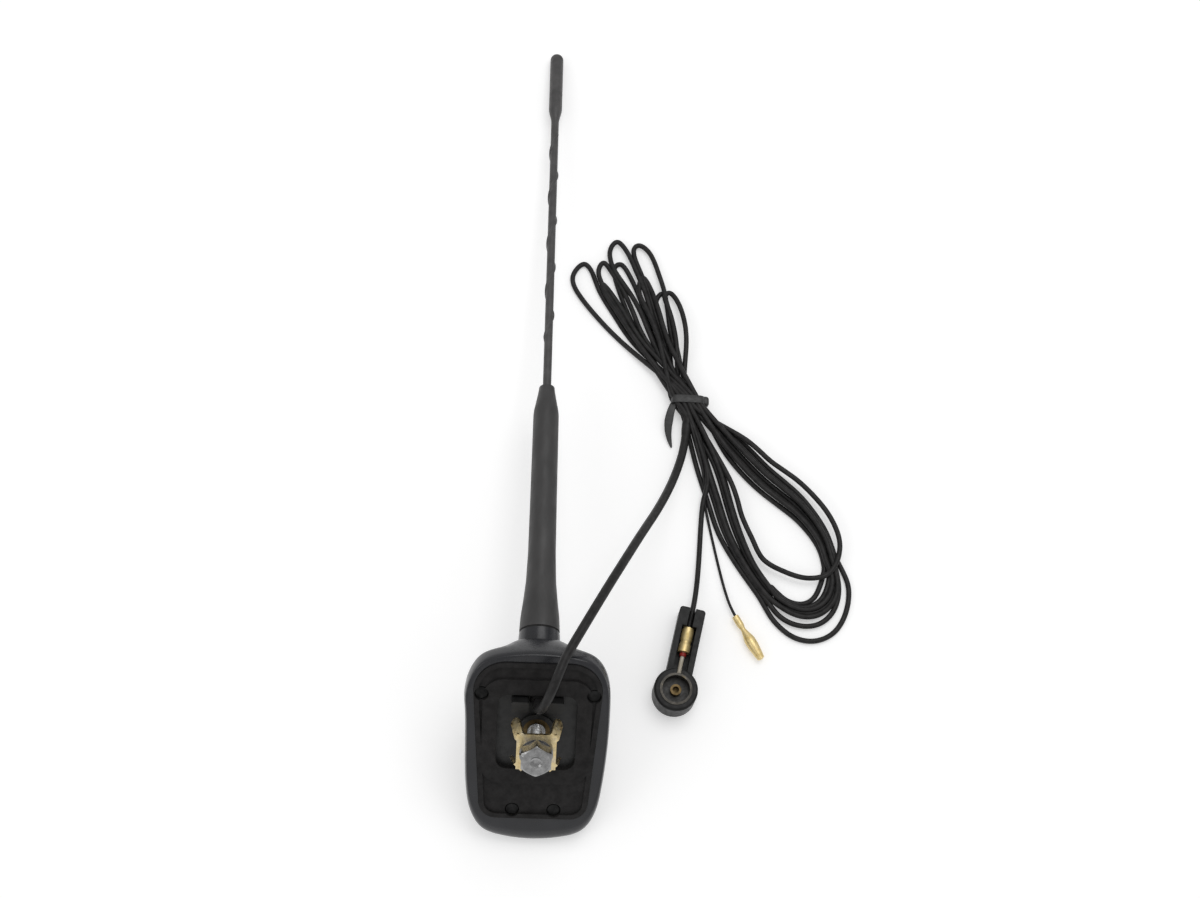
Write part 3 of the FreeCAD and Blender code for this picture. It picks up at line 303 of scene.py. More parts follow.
# Frame of the mast and of the clamp as the antenna lies on its nose and mast tip
joints = {joint["name"]: joint for joint in frame["joints"]}
mastAxis = np.array(joints["mast_turn"]["axis"], float)
mastSeat = np.array(joints["mast_turn"]["pos_m"], float)
boltAxis = np.array(joints["bolt_turn"]["axis"], float)
boltFoot = np.array(joints["bolt_turn"]["pos_m"], float)
leftward = np.array([-1.0, 0, 0])

# Cover: its shoulders beside the neck slope forward, pull = most * soft step of height * of length * of side
shoulder = {"most": 7.5, "low": 7, "high": 20, "front": 4, "rear": 31, "neck": 7, "side": 23,
            "cutRounds": 4, "edge": 2.5, "fold": 30}
rearward = np.cross(boltAxis, leftward)
coverMesh = skins["base_cover"].data
coverPoints = np.empty(len(coverMesh.vertices) * 3)
coverMesh.vertices.foreach_get("co", coverPoints)
coverPoints = coverPoints.reshape(-1, 3)


def softStep(value, low, high):
    share = np.clip((value - low) / (high - low), 0, 1)
    return share ** 2 * (3 - 2 * share)


def splitLong(points, faces, limit):
    # edges longer than the limit are cut at their middles, and the triangles beside them in two, three or four
    sides = np.sort(faces[:, [0, 1, 1, 2, 2, 0]].reshape(-1, 2), axis=1)
    edges, place = np.unique(sides, axis=0, return_inverse=True)
    isLong = np.linalg.norm(points[edges[:, 0]] - points[edges[:, 1]], axis=1) > limit
    middles = np.where(isLong, len(points) + np.cumsum(isLong) - 1, -1)[place.reshape(-1, 3)]
    isCut = middles >= 0
    cuts = isCut.sum(axis=1)
    turn = np.where(cuts == 1, isCut.argmax(axis=1), np.where(cuts == 2, isCut.argmin(axis=1) + 1, 0))
    order = (turn[:, None] + np.arange(3)) % 3
    corners = np.take_along_axis(faces, order, axis=1)
    halves = np.take_along_axis(middles, order, axis=1)
    pattern = {0: [0, 1, 2], 1: [0, 3, 2, 3, 1, 2], 2: [0, 3, 2, 3, 4, 2, 3, 1, 4],
               3: [0, 3, 5, 3, 1, 4, 5, 4, 2, 3, 4, 5]}
    table = np.concatenate([corners, halves], axis=1)
    pieces = [table[cuts == count][:, picks].reshape(-1, 3) for count, picks in pattern.items()]
    return np.concatenate([points, points[edges[isLong]].mean(axis=1)]), np.concatenate(pieces)


coverFaces = np.empty(len(coverMesh.polygons) * 3, int)
coverMesh.polygons.foreach_get("vertices", coverFaces)
coverFaces = coverFaces.reshape(-1, 3)
for _ in range(shoulder["cutRounds"]):
    coverPoints, coverFaces = splitLong(coverPoints, coverFaces, shoulder["edge"] * mm)
fromFoot = (coverPoints - boltFoot) / mm
pull = softStep(fromFoot @ boltAxis, shoulder["low"], shoulder["high"])
pull = pull * softStep(fromFoot @ rearward, shoulder["front"], shoulder["rear"])
pull = pull * softStep(np.abs(fromFoot @ leftward), shoulder["neck"], shoulder["side"]) * shoulder["most"]
coverMesh.clear_geometry()
coverMesh.from_pydata((coverPoints - rearward * pull[:, None] * mm).tolist(), [], coverFaces.tolist())
coverMesh.shade_smooth()
coverMesh.set_sharp_from_angle(angle=math.radians(shoulder["fold"]))
print("cover shaped: most", round(float(pull.max()), 2), "triangles", len(coverFaces))

# Whip: rod and cap profile, plus a round ridge that climbs it as a right-handed helix
whip = {"rodRadius": 0.00205, "capRadius": 0.00355, "capStart": 0.307, "taper": 0.010,
        "end": 0.345, "rounding": 0.0034, "ridgeStart": 0.158, "ridgePitch": 0.0296, "ridgeTurns": 4.45,
        "ridgeProud": 0.0006, "ridgeHalf": 0.36, "fadeLead": 0.0015, "fadeRun": 0.003, "columns": 56,
        # first station, last station and count of the plain rod, the ridged rod and the cap
        "runs": [(0.115, 0.154, 20), (0.1545, 0.2945, 300), (0.295, 0.3416, 60)], "tipStart": 0.08, "tipRows": 14}
tipAngle = np.linspace(whip["tipStart"], np.pi / 2, whip["tipRows"])
station = np.concatenate([np.linspace(*run) for run in whip["runs"]]
                         + [whip["end"] - whip["rounding"] * (1 - np.sin(tipAngle))])
swell = np.clip((station - whip["capStart"] + whip["taper"]) / whip["taper"], 0, 1)
rodProfile = whip["rodRadius"] + (whip["capRadius"] - whip["rodRadius"]) * swell ** 2 * (3 - 2 * swell)
overTip = np.clip((station - whip["end"] + whip["rounding"]) / whip["rounding"], 0, 1)
rodProfile = rodProfile - whip["rounding"] * (1 - np.sqrt(1 - overTip ** 2))
turnAngle = roundAngles(whip["columns"])
helix = 2 * np.pi * (station - whip["ridgeStart"]) / whip["ridgePitch"]
offRidge = np.angle(np.exp(1j * (turnAngle[None, :] - helix[:, None])))
ridgeEnd = whip["ridgeStart"] + whip["ridgePitch"] * whip["ridgeTurns"]
fade = np.clip((station - whip["ridgeStart"] + whip["fadeLead"]) / whip["fadeRun"], 0, 1)
fade = fade * np.clip((ridgeEnd - station) / whip["fadeRun"], 0, 1)
ridge = whip["ridgeProud"] * fade[:, None] * np.exp(-(offRidge / whip["ridgeHalf"]) ** 4)
whipPiece = lathe("whipRod", station, rodProfile[:, None] + ridge, mastSeat, mastAxis, leftward, "whipSkin",
                  "mast")
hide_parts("mast_whip")

# Sleeve: flared foot, long waist, tapered shoulder, with a faint mould line on both sides
sleeve = {"marks": [(0.001, 0.00915), (0.004, 0.0090), (0.008, 0.0088), (0.0165, 0.0078), (0.026, 0.00687),
                    (0.040, 0.0064), (0.067, 0.00624), (0.116, 0.0061), (0.122, 0.00495), (0.130, 0.0036)],
          "mouldLine": 0.00007, "mouldHalf": 0.05, "columns": 96, "bore": 0.0026, "edge": 0.0003, "lip": 0.0004,
          "lipBore": 0.0021}
sleeveStation, sleeveRadius = smoothProfile(sleeve["marks"])
angles = roundAngles(sleeve["columns"])
offMould = np.abs(np.angle(np.exp(2j * angles))) / 2
mould = sleeve["mouldLine"] * np.exp(-(offMould / sleeve["mouldHalf"]) ** 2)
sleeveStation = np.concatenate([[sleeveStation[0]] * 2, sleeveStation, [sleeveStation[-1] + sleeve["lip"]]])
sleeveRadius = np.concatenate([[sleeve["bore"], sleeveRadius[0] - sleeve["edge"]], sleeveRadius, [sleeve["lipBore"]]])
sleevePiece = lathe("mastSleeve", sleeveStation, sleeveRadius[:, None] + mould[None, :], mastSeat, mastAxis,
                    leftward, "sleeveRubber", "mast")
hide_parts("mast_sleeve")

# Bolt: a hexagon cut by a cone at its end, a dimple, and a shank with a rolled thread
bolt = {"headEnd": -0.0245, "headTop": -0.0180, "halfFlat": 0.0065, "bevelStart": 0.0061, "bevelSlope": 1.9,
        "dimpleRadius": 0.0027, "dimpleDepth": 0.0008, "tip": 0.0065, "radius": 0.00398, "threadDepth": 0.0005,
        "pitch": 0.00125, "columns": 96, "bevelRun": 0.0014, "sideStart": 0.0016, "rim": 0.0003, "dishRows": 9,
        "dishInner": 0.02, "faceInner": 0.0030, "faceEdge": 0.0002, "faceRows": 6, "rowsPerPitch": 10,
        "crestSlope": 1.3, "crestFlat": 0.15, "tipRadius": 0.0034, "tipInner": 0.001, "bevelRows": 12, "sideRows": 8}
angles = roundAngles(bolt["columns"])
headHeight = bolt["headTop"] - bolt["headEnd"]
hexagon = bolt["halfFlat"] / np.cos((angles + np.pi / 6) % (np.pi / 3) - np.pi / 6)
rise = np.concatenate([np.linspace(0, bolt["bevelRun"], bolt["bevelRows"]),
                       np.linspace(bolt["sideStart"], headHeight - bolt["rim"], bolt["sideRows"]), [headHeight]])
headSide = np.minimum(hexagon[None, :], bolt["bevelStart"] + bolt["bevelSlope"] * rise[:, None])
headSide[-1] -= bolt["rim"]
inward = np.linspace(bolt["dishInner"], 1, bolt["dishRows"])
dish = bolt["headEnd"] + bolt["dimpleDepth"] * (1 - inward ** 3)
faceRadii = np.linspace(bolt["faceInner"], bolt["bevelStart"] - bolt["faceEdge"], bolt["faceRows"])
flatRadii = np.concatenate([inward * bolt["dimpleRadius"], faceRadii])
shank = np.arange(bolt["headTop"], bolt["tip"], bolt["pitch"] / bolt["rowsPerPitch"])
wave = np.abs(((shank[:, None] / bolt["pitch"] - angles[None, :] / (2 * np.pi)) % 1) * 2 - 1)
shankSide = bolt["radius"] - bolt["threadDepth"] * np.clip(wave * bolt["crestSlope"] - bolt["crestFlat"], 0, 1)
tipRadii = np.array([bolt["tipRadius"], bolt["tipInner"]])
boltStation = np.concatenate([dish, np.full(bolt["faceRows"], bolt["headEnd"]), bolt["headEnd"] + rise, shank,
                              np.full(2, bolt["tip"])])
boltRadius = np.concatenate([np.repeat(flatRadii[:, None], bolt["columns"], axis=1), headSide, shankSide,
                             np.repeat(tipRadii[:, None], bolt["columns"], axis=1)])
boltPiece = lathe("hexBolt", boltStation, boltRadius, boltFoot, boltAxis, leftward, "brightZinc", "bolt",
                  sharp=25)
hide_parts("fixing_bolt")
print("mast and bolt made")


# Cords: one smooth spline each, with the route's points as its control points
cordMesh = {"roundSteps": 4, "alongSteps": 8, "order": 3, "lengthSamples": 9}


def layCord(name, points, radius):
    curve = bpy.data.curves.new(name, "CURVE")
    curve.dimensions = "3D"
    curve.bevel_depth = radius
    curve.bevel_resolution = cordMesh["roundSteps"]
    curve.resolution_u = cordMesh["alongSteps"]
    curve.use_fill_caps = True
    spline = curve.splines.new("NURBS")
    spline.points.add(len(points) - 1)
    flat = np.concatenate([np.asarray(points, float), np.ones((len(points), 1))], axis=1)
    spline.points.foreach_set("co", flat.reshape(-1))
    spline.order_u = cordMesh["order"]
    spline.use_endpoint_u = True
    curve.materials.append(paint["cableJacket"])
    piece = bpy.data.objects.new(name, curve)
    scene.collection.objects.link(piece)
    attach(piece, "base")
    return piece


feed = {"diameter": 0.0042, "length": 0.219, "points": [
    (0, -163.17, 55.52), (0, -167.016, 59.595), (0.48, -169.14, 64.61), (1.87, -169.43, 70.17),
    (3.55, -167.53, 75.33), (5.58, -163.61, 79.37), (8.13, -156.99, 81.85), (10.9, -149.3, 80.3),
    (16.6, -138.3, 77.9), (22.8, -126.2, 74.2),
    (29.8, -112.2, 67.6), (37.4, -97, 58.6), (45.7, -80.1, 47), (54, -63.4, 32.4), (61.1, -46.8, 18.6),
    (66.5, -31.6, 9), (70.2, -18, 5), (71.6, -5.5, 4.6)]}
feedPoints = np.array(feed["points"]) * mm
feedPiece = layCord("feedCable", feedPoints, feed["diameter"] / 2)
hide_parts("feed_cable")

# Hank: each turn runs up the right leg of an upper loop, down its left leg, through the tie, down the left leg of a
# lower loop and up its right leg; a leg's place is its share of the way from one edge of the bundle to the other
hank = {"tie": (71.8, 6.6), "jacket": 2.6, "nest": 2.25, "sheet": 0.9, "perKey": 2,
        # left leg, tip and right leg of each upper loop, and its layer
        "upper": [([(66.2, 38.3), (63.0, 56.2), (60.0, 66.0), (63.0, 69.5), (67.1, 63.7), (70.2, 52.9),
                    (71.3, 38.5)], 1.7),
                  ([(62.7, 38.1), (56.5, 55.8), (55.8, 64.9), (58.9, 69.5), (61.3, 64.8), (63.6, 54.4),
                    (66.7, 38.3)], 0),
                  ([(60.6, 38.0), (55.2, 55.8), (50.7, 72.0), (45.1, 86.6), (43.7, 94.4), (47.2, 97.2), (53.0, 91.7),
                    (57.5, 78.8), (60.2, 68.8), (62.0, 56.1), (64.6, 38.2)], 0.9),
                  ([(54.6, 37.7), (48.0, 55.4), (41.7, 67.9), (33.3, 81.3), (31.0, 92.4), (35.1, 98.8), (40.6, 92.0),
                    (45.2, 80.6), (49.9, 68.3), (53.2, 55.7), (58.5, 37.9)], 1.4),
                  ([(50.1, 37.5), (41.8, 55.1), (36.5, 69.5), (33.3, 82.2), (37.4, 85.8), (41.9, 79.0), (46.6, 68.1),
                    (50.8, 55.6), (56.6, 37.8)], 0),
                  ([(47.7, 37.4), (37.8, 54.9), (29.5, 68.2), (25.2, 79.6), (28.0, 86.1), (32.5, 80.0), (39.3, 67.8),
                    (44.3, 55.2), (52.0, 37.6)], 0.9),
                  ([(41.2, 37.1), (24.8, 54.3), (13.3, 70.1), (12.4, 78.9), (17.7, 85.2), (22.2, 80.2), (26.2, 68.9),
                    (34.5, 54.8), (46.1, 37.3)], 0),
                  ([(46.8, 37.3), (36.2, 54.8), (29.0, 67.0), (27.4, 73.0), (31.4, 68.5), (39.5, 55.0),
                    (49.5, 37.5)], 1.5),
                  ([(57.6, 37.9), (51.5, 55.6), (46.5, 68.0), (48.6, 78.0), (53.4, 69.0), (57.2, 56.0),
                    (62.0, 38.0)], 2.2)],
        "rightOuter": [(96.4, -8.6), (113.5, -26.6), (128.9, -40.2), (140.8, -57.9), (145.3, -72.4)],
        "rightInner": [(90.7, -21.6), (106.9, -40.3), (125.3, -54.4), (135.5, -67.1), (138.3, -76.7)],
        "leftOuter": [(75.7, -27.3), (81.8, -47.1), (86.8, -63.3), (96.5, -80.0), (106.6, -94.7)],
        "leftInner": [(88.3, -21.7), (94.6, -44.1), (99.1, -60.4), (105.7, -78.0), (114.4, -90.5)],
        # share across each leg, layer, and the bottom of each lower loop from right to left
        "lower": [(0.89, 0, [(138.8, -81.6), (134.7, -92.9), (128.0, -97.4), (119.6, -95.5), (112.4, -88.5)]),
                  (0.68, 0.6, [(141.5, -83.9), (137.7, -94.4), (130.2, -99.2), (122.3, -98.1), (115.1, -92.8)]),
                  (0.47, 0, [(144.4, -86.2), (142.3, -95.0), (135.5, -100.8), (127.1, -101.9), (118.0, -98.7)]),
                  (0.26, 0.6, [(146.2, -88.5), (143.1, -100.5), (135.3, -107.6), (125.3, -108.4), (116.0, -103.9)]),
                  (0.05, 0, [(151.1, -86.7), (149.2, -101.1), (142.7, -111.5), (132.7, -115.9), (122.2, -113.8),
                          (113.0, -105.5)]),
                  (0.78, 1.3, [(143.0, -85.0), (140.0, -94.7), (133.0, -100.0), (124.7, -100.0), (116.5, -95.7)]),
                  (0.36, 1.3, [(145.5, -87.0), (142.8, -96.5), (135.4, -103.0), (126.5, -104.0), (117.5, -100.0)])],
        "single": [(101.1, -12.6), (113.5, -24.4), (127.5, -34.4), (140.4, -48.9), (146.3, -61.8), (146.6, -70.8),
                   (144.0, -78.1), (139.2, -83.5), (129.1, -85.1), (118.4, -81.9), (108.5, -76.3), (103.6, -65.9),
                   (98.1, -53.1), (93.2, -35.0)],
        "singleLayer": 1.3, "columns": (1.3, 3.9, 6.5), "squash": 0.9, "lean": 3, "half": 5,
        "upperSink": 0.3, "lowerSink": 0.4,
        "start": [(71.6, -5.5, 4.6), (72.4, -1.0, 5.2)],
        "tail": [(76.4, -9, 4.4), (79.6, -22, 4.6), (82, -36, 4.4), (79.6, -46.4, 3), (78.6, -57.4, 1.9),
                 (77.9, -70, 1.4), (76.9, -83.6, 2.2), (74.89, -98.62, 5.5), (71.853, -112.899, 5.5)]}
tieCentre = np.array(hank["tie"])
strand = hank["jacket"]


def raised(keys, layer, floorShare):
    # height = half a strand plus the layer, which sinks towards the loop's end by a half sine
    keys = np.array(keys)
    share = np.sin(np.linspace(0, np.pi, len(keys) + 2)[1:-1])
    height = strand * (0.5 + layer * (1 - (1 - floorShare) * share ** 3))
    return np.column_stack([keys, height])


def waist(turn, side, rising):
    # the strand's column and layer in the tie, from below to above or the other way
    rows = len(hank["columns"])
    across = side * hank["columns"][turn % rows] * hank["squash"]
    height = hank["sheet"] + strand / 2 + hank["nest"] * (turn // rows)
    below = [tieCentre[0] + across + hank["lean"], tieCentre[1] - hank["half"], height]
    above = [tieCentre[0] + across - hank["lean"], tieCentre[1] + hank["half"], height]
    return np.array([below, above] if rising else [above, below])


def throughKeys(keys, perKey):
    # cubic through each pair of keys, its slopes half the step between the neighbours
    before = np.concatenate([keys[:1], keys[:-1]])
    after = np.concatenate([keys[1:], keys[-1:]])
    slope = (after - before) / 2
    t = (np.arange(perKey) / perKey)[None, :, None]
    a, b, p, q = keys[:-1, None], keys[1:, None], slope[:-1, None], slope[1:, None]
    path = a * (2 * t ** 3 - 3 * t ** 2 + 1) + p * (t ** 3 - 2 * t ** 2 + t)
    path = path + b * (3 * t ** 2 - 2 * t ** 3) + q * (t ** 3 - t ** 2)
    return np.concatenate([path.reshape(-1, 3), keys[-1:]])


edges = {name: np.array(hank[name]) for name in ("rightOuter", "rightInner", "leftOuter", "leftInner")}
lowerLoops = [raised(hank["single"], hank["singleLayer"], 1)]
for share, layer, bottom in hank["lower"]:
    right = edges["rightOuter"] * (1 - share) + edges["rightInner"] * share
    left = edges["leftOuter"] * (1 - share) + edges["leftInner"] * share
    lowerLoops.append(raised(np.concatenate([right, bottom, left[::-1]]), layer, hank["lowerSink"]))
turns = [np.array(hank["start"])]
for turn, (keys, layer) in enumerate(hank["upper"]):
    turns.append(waist(turn, 1, True))
    turns.append(raised(keys, layer, hank["upperSink"])[::-1])
    turns.append(waist(turn, -1, False))
    if turn < len(lowerLoops):
        turns.append(lowerLoops[turn][::-1])
turns.append(np.array(hank["tail"]))
hankPoints = throughKeys(np.concatenate(turns), hank["perKey"]) * mm
hankPiece = layCord("hankCable", hankPoints, strand * mm / 2)
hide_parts("cable_hank", "coax_tail")

power = {"diameter": 0.0014, "points": [
    (73.0, -6.0, 7.2), (75.6, -16.5, 6.9), (78.6, -27.5, 5.2), (80.6, -37, 2.6), (80.4, -46.8, 1.4), (82.4, -57, 0.9),
    (84.8, -68.4, 0.8), (87.3, -80, 0.8), (90, -91.6, 1.3), (93.01, -102.09, 2.75), (97.357, -109.397, 2.75)]}
powerPoints = np.array(power["points"]) * mm
powerPiece = layCord("powerWire", powerPoints, power["diameter"] / 2)
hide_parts("power_tail")


def splineLength(points):
    # length of the quadratic B-spline through its chain of middles, sampled
    t = np.linspace(0, 1, cordMesh["lengthSamples"])
    middles = (points[:-1] + points[1:]) / 2
    middles[0], middles[-1] = points[0], points[-1]
    start, corner, end = middles[:-1, None], points[1:-1, None], middles[1:, None]
    arcs = start * (1 - t[:, None]) ** 2 + corner * 2 * t[:, None] * (1 - t[:, None]) + end * t[:, None] ** 2
    return float(np.linalg.norm(np.diff(arcs, axis=1), axis=2).sum())


hankLength, powerLength = splineLength(hankPoints), splineLength(powerPoints)
print("cords laid: feed", round(splineLength(feedPoints), 4), "hank", round(hankLength, 3),
      "power", round(powerLength, 4))

# Breakout: a short shrunk sleeve where the feed cable divides, tapered at both ends
breakout = {"radius": 0.0026, "length": 0.012, "ahead": 0.6, "endShare": 0.82, "swell": 0.18, "rows": 15, "columns": 28}
upAxis = np.array([0, 0, 1.0])
breakAxis = unit(feedPoints[-1] - feedPoints[-2])
breakSide = unit(np.cross(breakAxis, upAxis))
share = np.linspace(0, 1, breakout["rows"])
swelling = breakout["endShare"] + breakout["swell"] * np.sin(np.pi * share) ** 0.5
breakPiece = lathe("breakoutSleeve", (share - breakout["ahead"]) * breakout["length"],
                   breakout["radius"] * np.clip(swelling, 0, 1), feedPoints[-1], breakAxis, breakSide, "cableJacket",
                   "base", segments=breakout["columns"])

# Tie: a band round the waist, a knob at its right and a loose end that tapers to a point
tie = {"half": 8.3, "top": 8.8, "width": 4.0, "thick": 0.8, "bandRows": 72, "bandPower": 0.4,
       "section": [(-0.5, 0.1), (-0.5, 0.9), (-0.44, 1), (0.44, 1), (0.5, 0.9), (0.5, 0.1), (0.44, 0), (-0.44, 0)],
       "knob": (8.6, 0.4, 4.2), "knobSize": (2.3, 2.6, 2.2), "knobRows": 17, "knobColumns": 32, "knobPower": 0.6,
       "tail": [(64.9, 5.6, 5.6), (63.4, 1.5, 5.4), (62.2, -4, 4.2), (62.0, -9, 2.8), (62.8, -13.5, 1.4),
                (64.2, -18, 0.8)],
       "tailHalf": [1.5, 1.9, 2.2, 1.8, 1.2, 0.35], "tailThick": 0.45, "tailRows": 40, "tailColumns": 20,
       "tailPower": 0.5, "tailSpread": 4, "fold": 60}
turnShare = roundAngles(tie["bandRows"])
section = np.array(tie["section"])
inset = tie["thick"] * (section[:, 1] - 1)
outX = tieCentre[0] + squareWave(np.cos(turnShare), tie["bandPower"])[:, None] * (tie["half"] + inset)
outZ = tie["top"] / 2 + squareWave(np.sin(turnShare), tie["bandPower"])[:, None] * (tie["top"] / 2 + inset)
outY = tieCentre[1] + np.broadcast_to(section[:, 0] * tie["width"], outX.shape)
bandPoints = np.stack([outX, outY, outZ], axis=-1).reshape(-1, 3) * mm
tiePiece = putMesh("tieBand", bandPoints, gridFaces(tie["bandRows"], len(section), wrapRows=True),
                   np.empty((0, 3), int), "tiePlastic", "base", sharp=tie["fold"])
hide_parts("cable_tie")

# knob = half sizes * powers of cosine and sine of its latitude and turn; the poles are single points
latitude = np.linspace(-np.pi / 2, np.pi / 2, tie["knobRows"])[1:-1, None]
knobTurn = roundAngles(tie["knobColumns"])[None, :]
knobRing = squareWave(np.cos(latitude), tie["knobPower"])
knobShape = [knobRing * squareWave(np.cos(knobTurn), tie["knobPower"]),
             knobRing * squareWave(np.sin(knobTurn), tie["knobPower"]),
             np.broadcast_to(squareWave(np.sin(latitude), tie["knobPower"]), (len(latitude), tie["knobColumns"]))]
knobCentre = np.array([*tieCentre, 0]) + np.array(tie["knob"])
knobPoints = (np.stack(knobShape, axis=-1) * np.array(tie["knobSize"]) + knobCentre).reshape(-1, 3)
knobPoles = knobCentre + np.array([[0, 0, -tie["knobSize"][2]], [0, 0, tie["knobSize"][2]]])
knobPiece = putMesh("tieKnob", np.concatenate([knobPoints, knobPoles]) * mm,
                    gridFaces(len(latitude), tie["knobColumns"]), poleFaces(len(latitude), tie["knobColumns"]),
                    "tiePlastic", "base", sharp=tie["fold"])

# loose end = running mean of the line through its marks + flat side * half width + up * thickness
tailMarks = np.array(tie["tail"], float)
tailPlace = np.arange(len(tailMarks))
tailShare = np.linspace(0, len(tailMarks) - 1, tie["tailRows"])
tailWindow = np.ones(2 * tie["tailSpread"] + 1) / (2 * tie["tailSpread"] + 1)
tailLine = np.column_stack([np.interp(tailShare, tailPlace, mark) for mark in tailMarks.T])
tailLine = np.column_stack([np.convolve(np.pad(line, tie["tailSpread"], "edge"), tailWindow, "valid")
                            for line in tailLine.T])
tailHalf = np.interp(tailShare, tailPlace, tie["tailHalf"])
heading = np.gradient(tailLine, axis=0)
heading = heading / np.linalg.norm(heading, axis=1)[:, None]
flatSide = np.cross(heading, upAxis)
flatSide = flatSide / np.linalg.norm(flatSide, axis=1)[:, None]
flatUp = np.cross(flatSide, heading)
ring = roundAngles(tie["tailColumns"])
strapX, strapZ = squareWave(np.cos(ring), tie["tailPower"]), squareWave(np.sin(ring), tie["tailPower"])
strap = (tailLine[:, None] + flatSide[:, None] * (tailHalf[:, None] * strapX)[..., None]
         + flatUp[:, None] * (tie["tailThick"] * strapZ)[None, :, None])
strapPoints = np.concatenate([strap.reshape(-1, 3), tailLine[[0, -1]]]) * mm
tailPiece = putMesh("tieTail", strapPoints, gridFaces(tie["tailRows"], tie["tailColumns"]),
                    poleFaces(tie["tailRows"], tie["tailColumns"]), "tiePlastic", "base",
                    sharp=tie["fold"])
print("tie made")

# Terminal: crimped barrel, pinched neck, long bullet, with a rolled seam and one small dent on top
terminal = {"marks": [(0, 0.0017), (0.005, 0.0017), (0.0072, 0.00115), (0.009, 0.0015), (0.013, 0.0027),
                      (0.0165, 0.00275), (0.021, 0.0022), (0.0236, 0.0018)],
            "start": (94.8, -105.1, 2.75), "heading": (12.2, -20.5, 0), "seam": 0.0004, "seamHalf": 0.16,
            "dent": 0.0007, "dentAt": 0.0145, "dentRun": 0.0016, "dentHalf": 0.5, "nose": 0.0006, "noseRadius": 0.0009,
            "columns": 48, "step": 0.0003, "spread": 2}
terminalAxis = unit(np.array(terminal["heading"], float))
terminalStation, terminalRadius = smoothProfile(terminal["marks"], terminal["step"], terminal["spread"])
fromTop = np.angle(np.exp(1j * (roundAngles(terminal["columns"]) - np.pi / 2)))
seam = terminal["seam"] * np.exp(-(fromTop / terminal["seamHalf"]) ** 2)
alongDent = (terminalStation[:, None] - terminal["dentAt"]) / terminal["dentRun"]
dent = terminal["dent"] * np.exp(-alongDent ** 2 - (fromTop / terminal["dentHalf"]) ** 2)
terminalStation = np.concatenate([terminalStation, [terminal["marks"][-1][0] + terminal["nose"]]])
terminalGrid = np.concatenate([terminalRadius[:, None] - seam - dent,
                               np.full((1, terminal["columns"]), terminal["noseRadius"])])
terminalPiece = lathe("powerTerminal", terminalStation, terminalGrid, np.array(terminal["start"]) * mm, terminalAxis,
                      np.cross(terminalAxis, upAxis), "satinBrass", "base")
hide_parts("power_terminal")

# Red bit: a short ring of coloured sleeving that shows below the ferrule
redBit = {"start": (69.28, -125.0, 5.5), "end": (68.9, -126.8, 5.5), "radius": 0.0017, "endShare": 0.85,
          "swell": 0.15, "rows": 9, "columns": 28}
redStart, redEnd = np.array(redBit["start"]) * mm, np.array(redBit["end"]) * mm
redAxis = unit(redEnd - redStart)
share = np.linspace(0, 1, redBit["rows"])
redRadius = redBit["radius"] * (redBit["endShare"] + redBit["swell"] * np.sin(np.pi * share))
redPiece = lathe("redSleeving", share * np.linalg.norm(redEnd - redStart), redRadius, redStart, redAxis,
                 np.cross(redAxis, upAxis), "redSleeve", "base", segments=redBit["columns"])
print("terminal made")

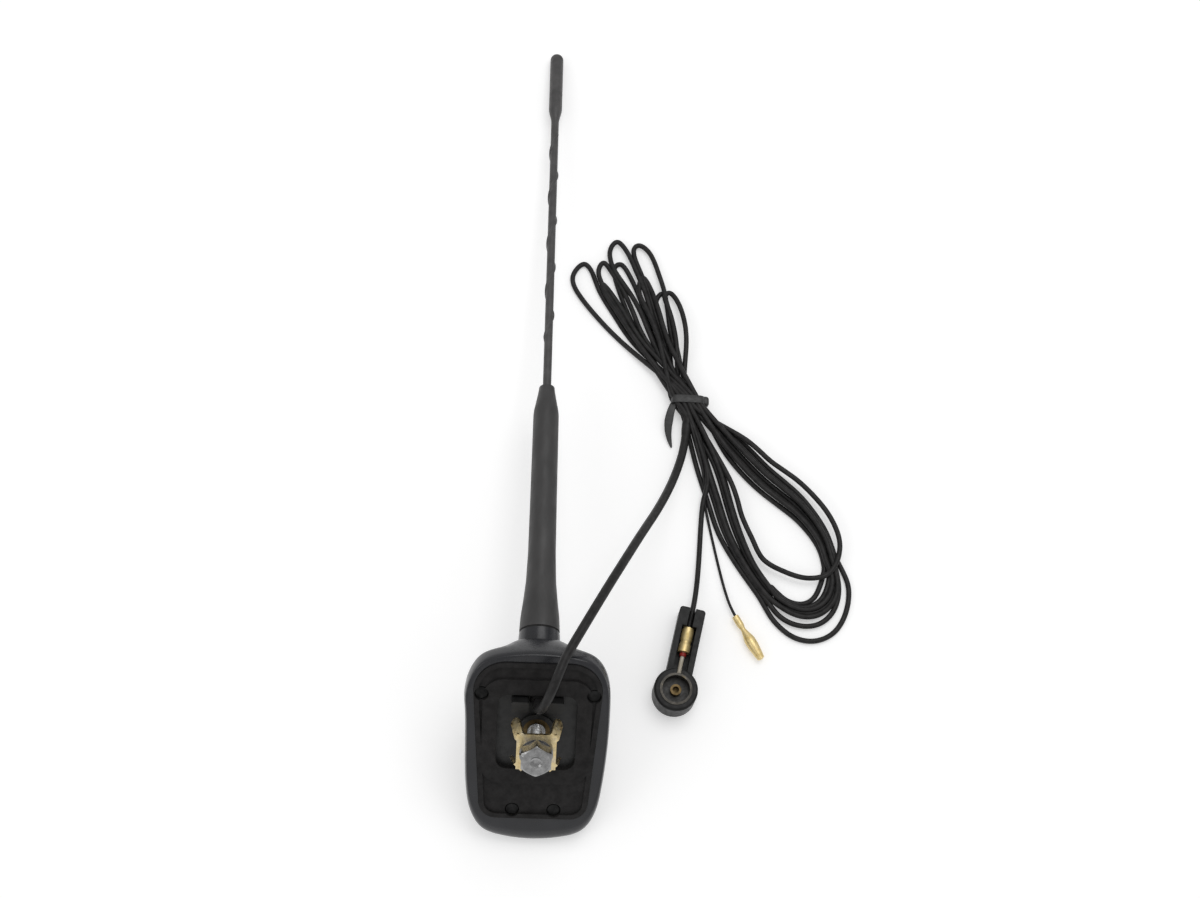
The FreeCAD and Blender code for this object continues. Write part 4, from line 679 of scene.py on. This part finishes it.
# Floor and light: a pale sheet that the camera and reflections see as white, an even sky, a wide soft lamp overhead
# and two weaker ones from the front and the left
floorSpec = {"half": 6.0, "albedo": 0.8, "rough": 0.9, "glow": 0.36, "sky": 0.55}
lampSpec = {"keyLamp": {"place": (0.25, 0.35, 1.3), "target": (0.05, 0, 0), "size": 0.9, "power": 5.5},
            "frontLamp": {"place": (-0.05, -1.1, 0.22), "target": (0, -0.2, 0.03), "size": 0.5, "power": 0.22},
            "fillLamp": {"place": (-0.9, -0.6, 0.8), "target": (0, -0.1, 0), "size": 0.7, "power": 2.0}}
floorMesh = bpy.data.meshes.new("floorSheet")
edge = floorSpec["half"]
floorMesh.from_pydata([(-edge, -edge, 0), (edge, -edge, 0), (edge, edge, 0), (-edge, edge, 0)], [], [(0, 1, 2, 3)])
floorObject = bpy.data.objects.new("floorSheet", floorMesh)
scene.collection.objects.link(floorObject)
floorPaint, tree = newTree("floorPaint")
rays = addNode(tree, "ShaderNodeLightPath")
shader = addNode(tree, "ShaderNodeBsdfPrincipled", Roughness=floorSpec["rough"])
shader.inputs["Base Color"].default_value = (floorSpec["albedo"],) * 3 + (1,)
shader.inputs["Emission Color"].default_value = (1, 1, 1, 1)
seen = addNode(tree, "ShaderNodeMath", operation="MAXIMUM")
tree.links.new(rays.outputs["Is Camera Ray"], seen.inputs[0])
tree.links.new(rays.outputs["Is Glossy Ray"], seen.inputs[1])
glow = addNode(tree, "ShaderNodeMath", operation="MULTIPLY")
tree.links.new(seen.outputs[0], glow.inputs[0])
glow.inputs[1].default_value = floorSpec["glow"]
tree.links.new(glow.outputs[0], shader.inputs["Emission Strength"])
output = addNode(tree, "ShaderNodeOutputMaterial")
tree.links.new(shader.outputs["BSDF"], output.inputs["Surface"])
floorMesh.materials.append(floorPaint)
world = bpy.data.worlds.new("studioSky")
scene.world = world
world.use_nodes = True
tree = world.node_tree
sky = tree.nodes["Background"]
sky.inputs["Color"].default_value = (1, 1, 1, 1)
sky.inputs["Strength"].default_value = floorSpec["sky"]


def addLamp(name, spec):
    # an area lamp at its place whose back points away from its target
    lampData = bpy.data.lights.new(name, "AREA")
    lampData.shape = "SQUARE"
    lampData.size = spec["size"]
    lampData.energy = spec["power"]
    lamp = bpy.data.objects.new(name, lampData)
    scene.collection.objects.link(lamp)
    back = unit(np.array(spec["place"]) - np.array(spec["target"]))
    across = unit(np.cross([0.0, 1.0, 0.0], back))
    turn = np.eye(4)
    turn[:3, 0], turn[:3, 1], turn[:3, 2], turn[:3, 3] = across, np.cross(back, across), back, spec["place"]
    lamp.matrix_world = Matrix(turn.tolist())


for lampName, spec in lampSpec.items():
    addLamp(lampName, spec)
scene.view_settings.view_transform = "Standard"
print("stage and light set")
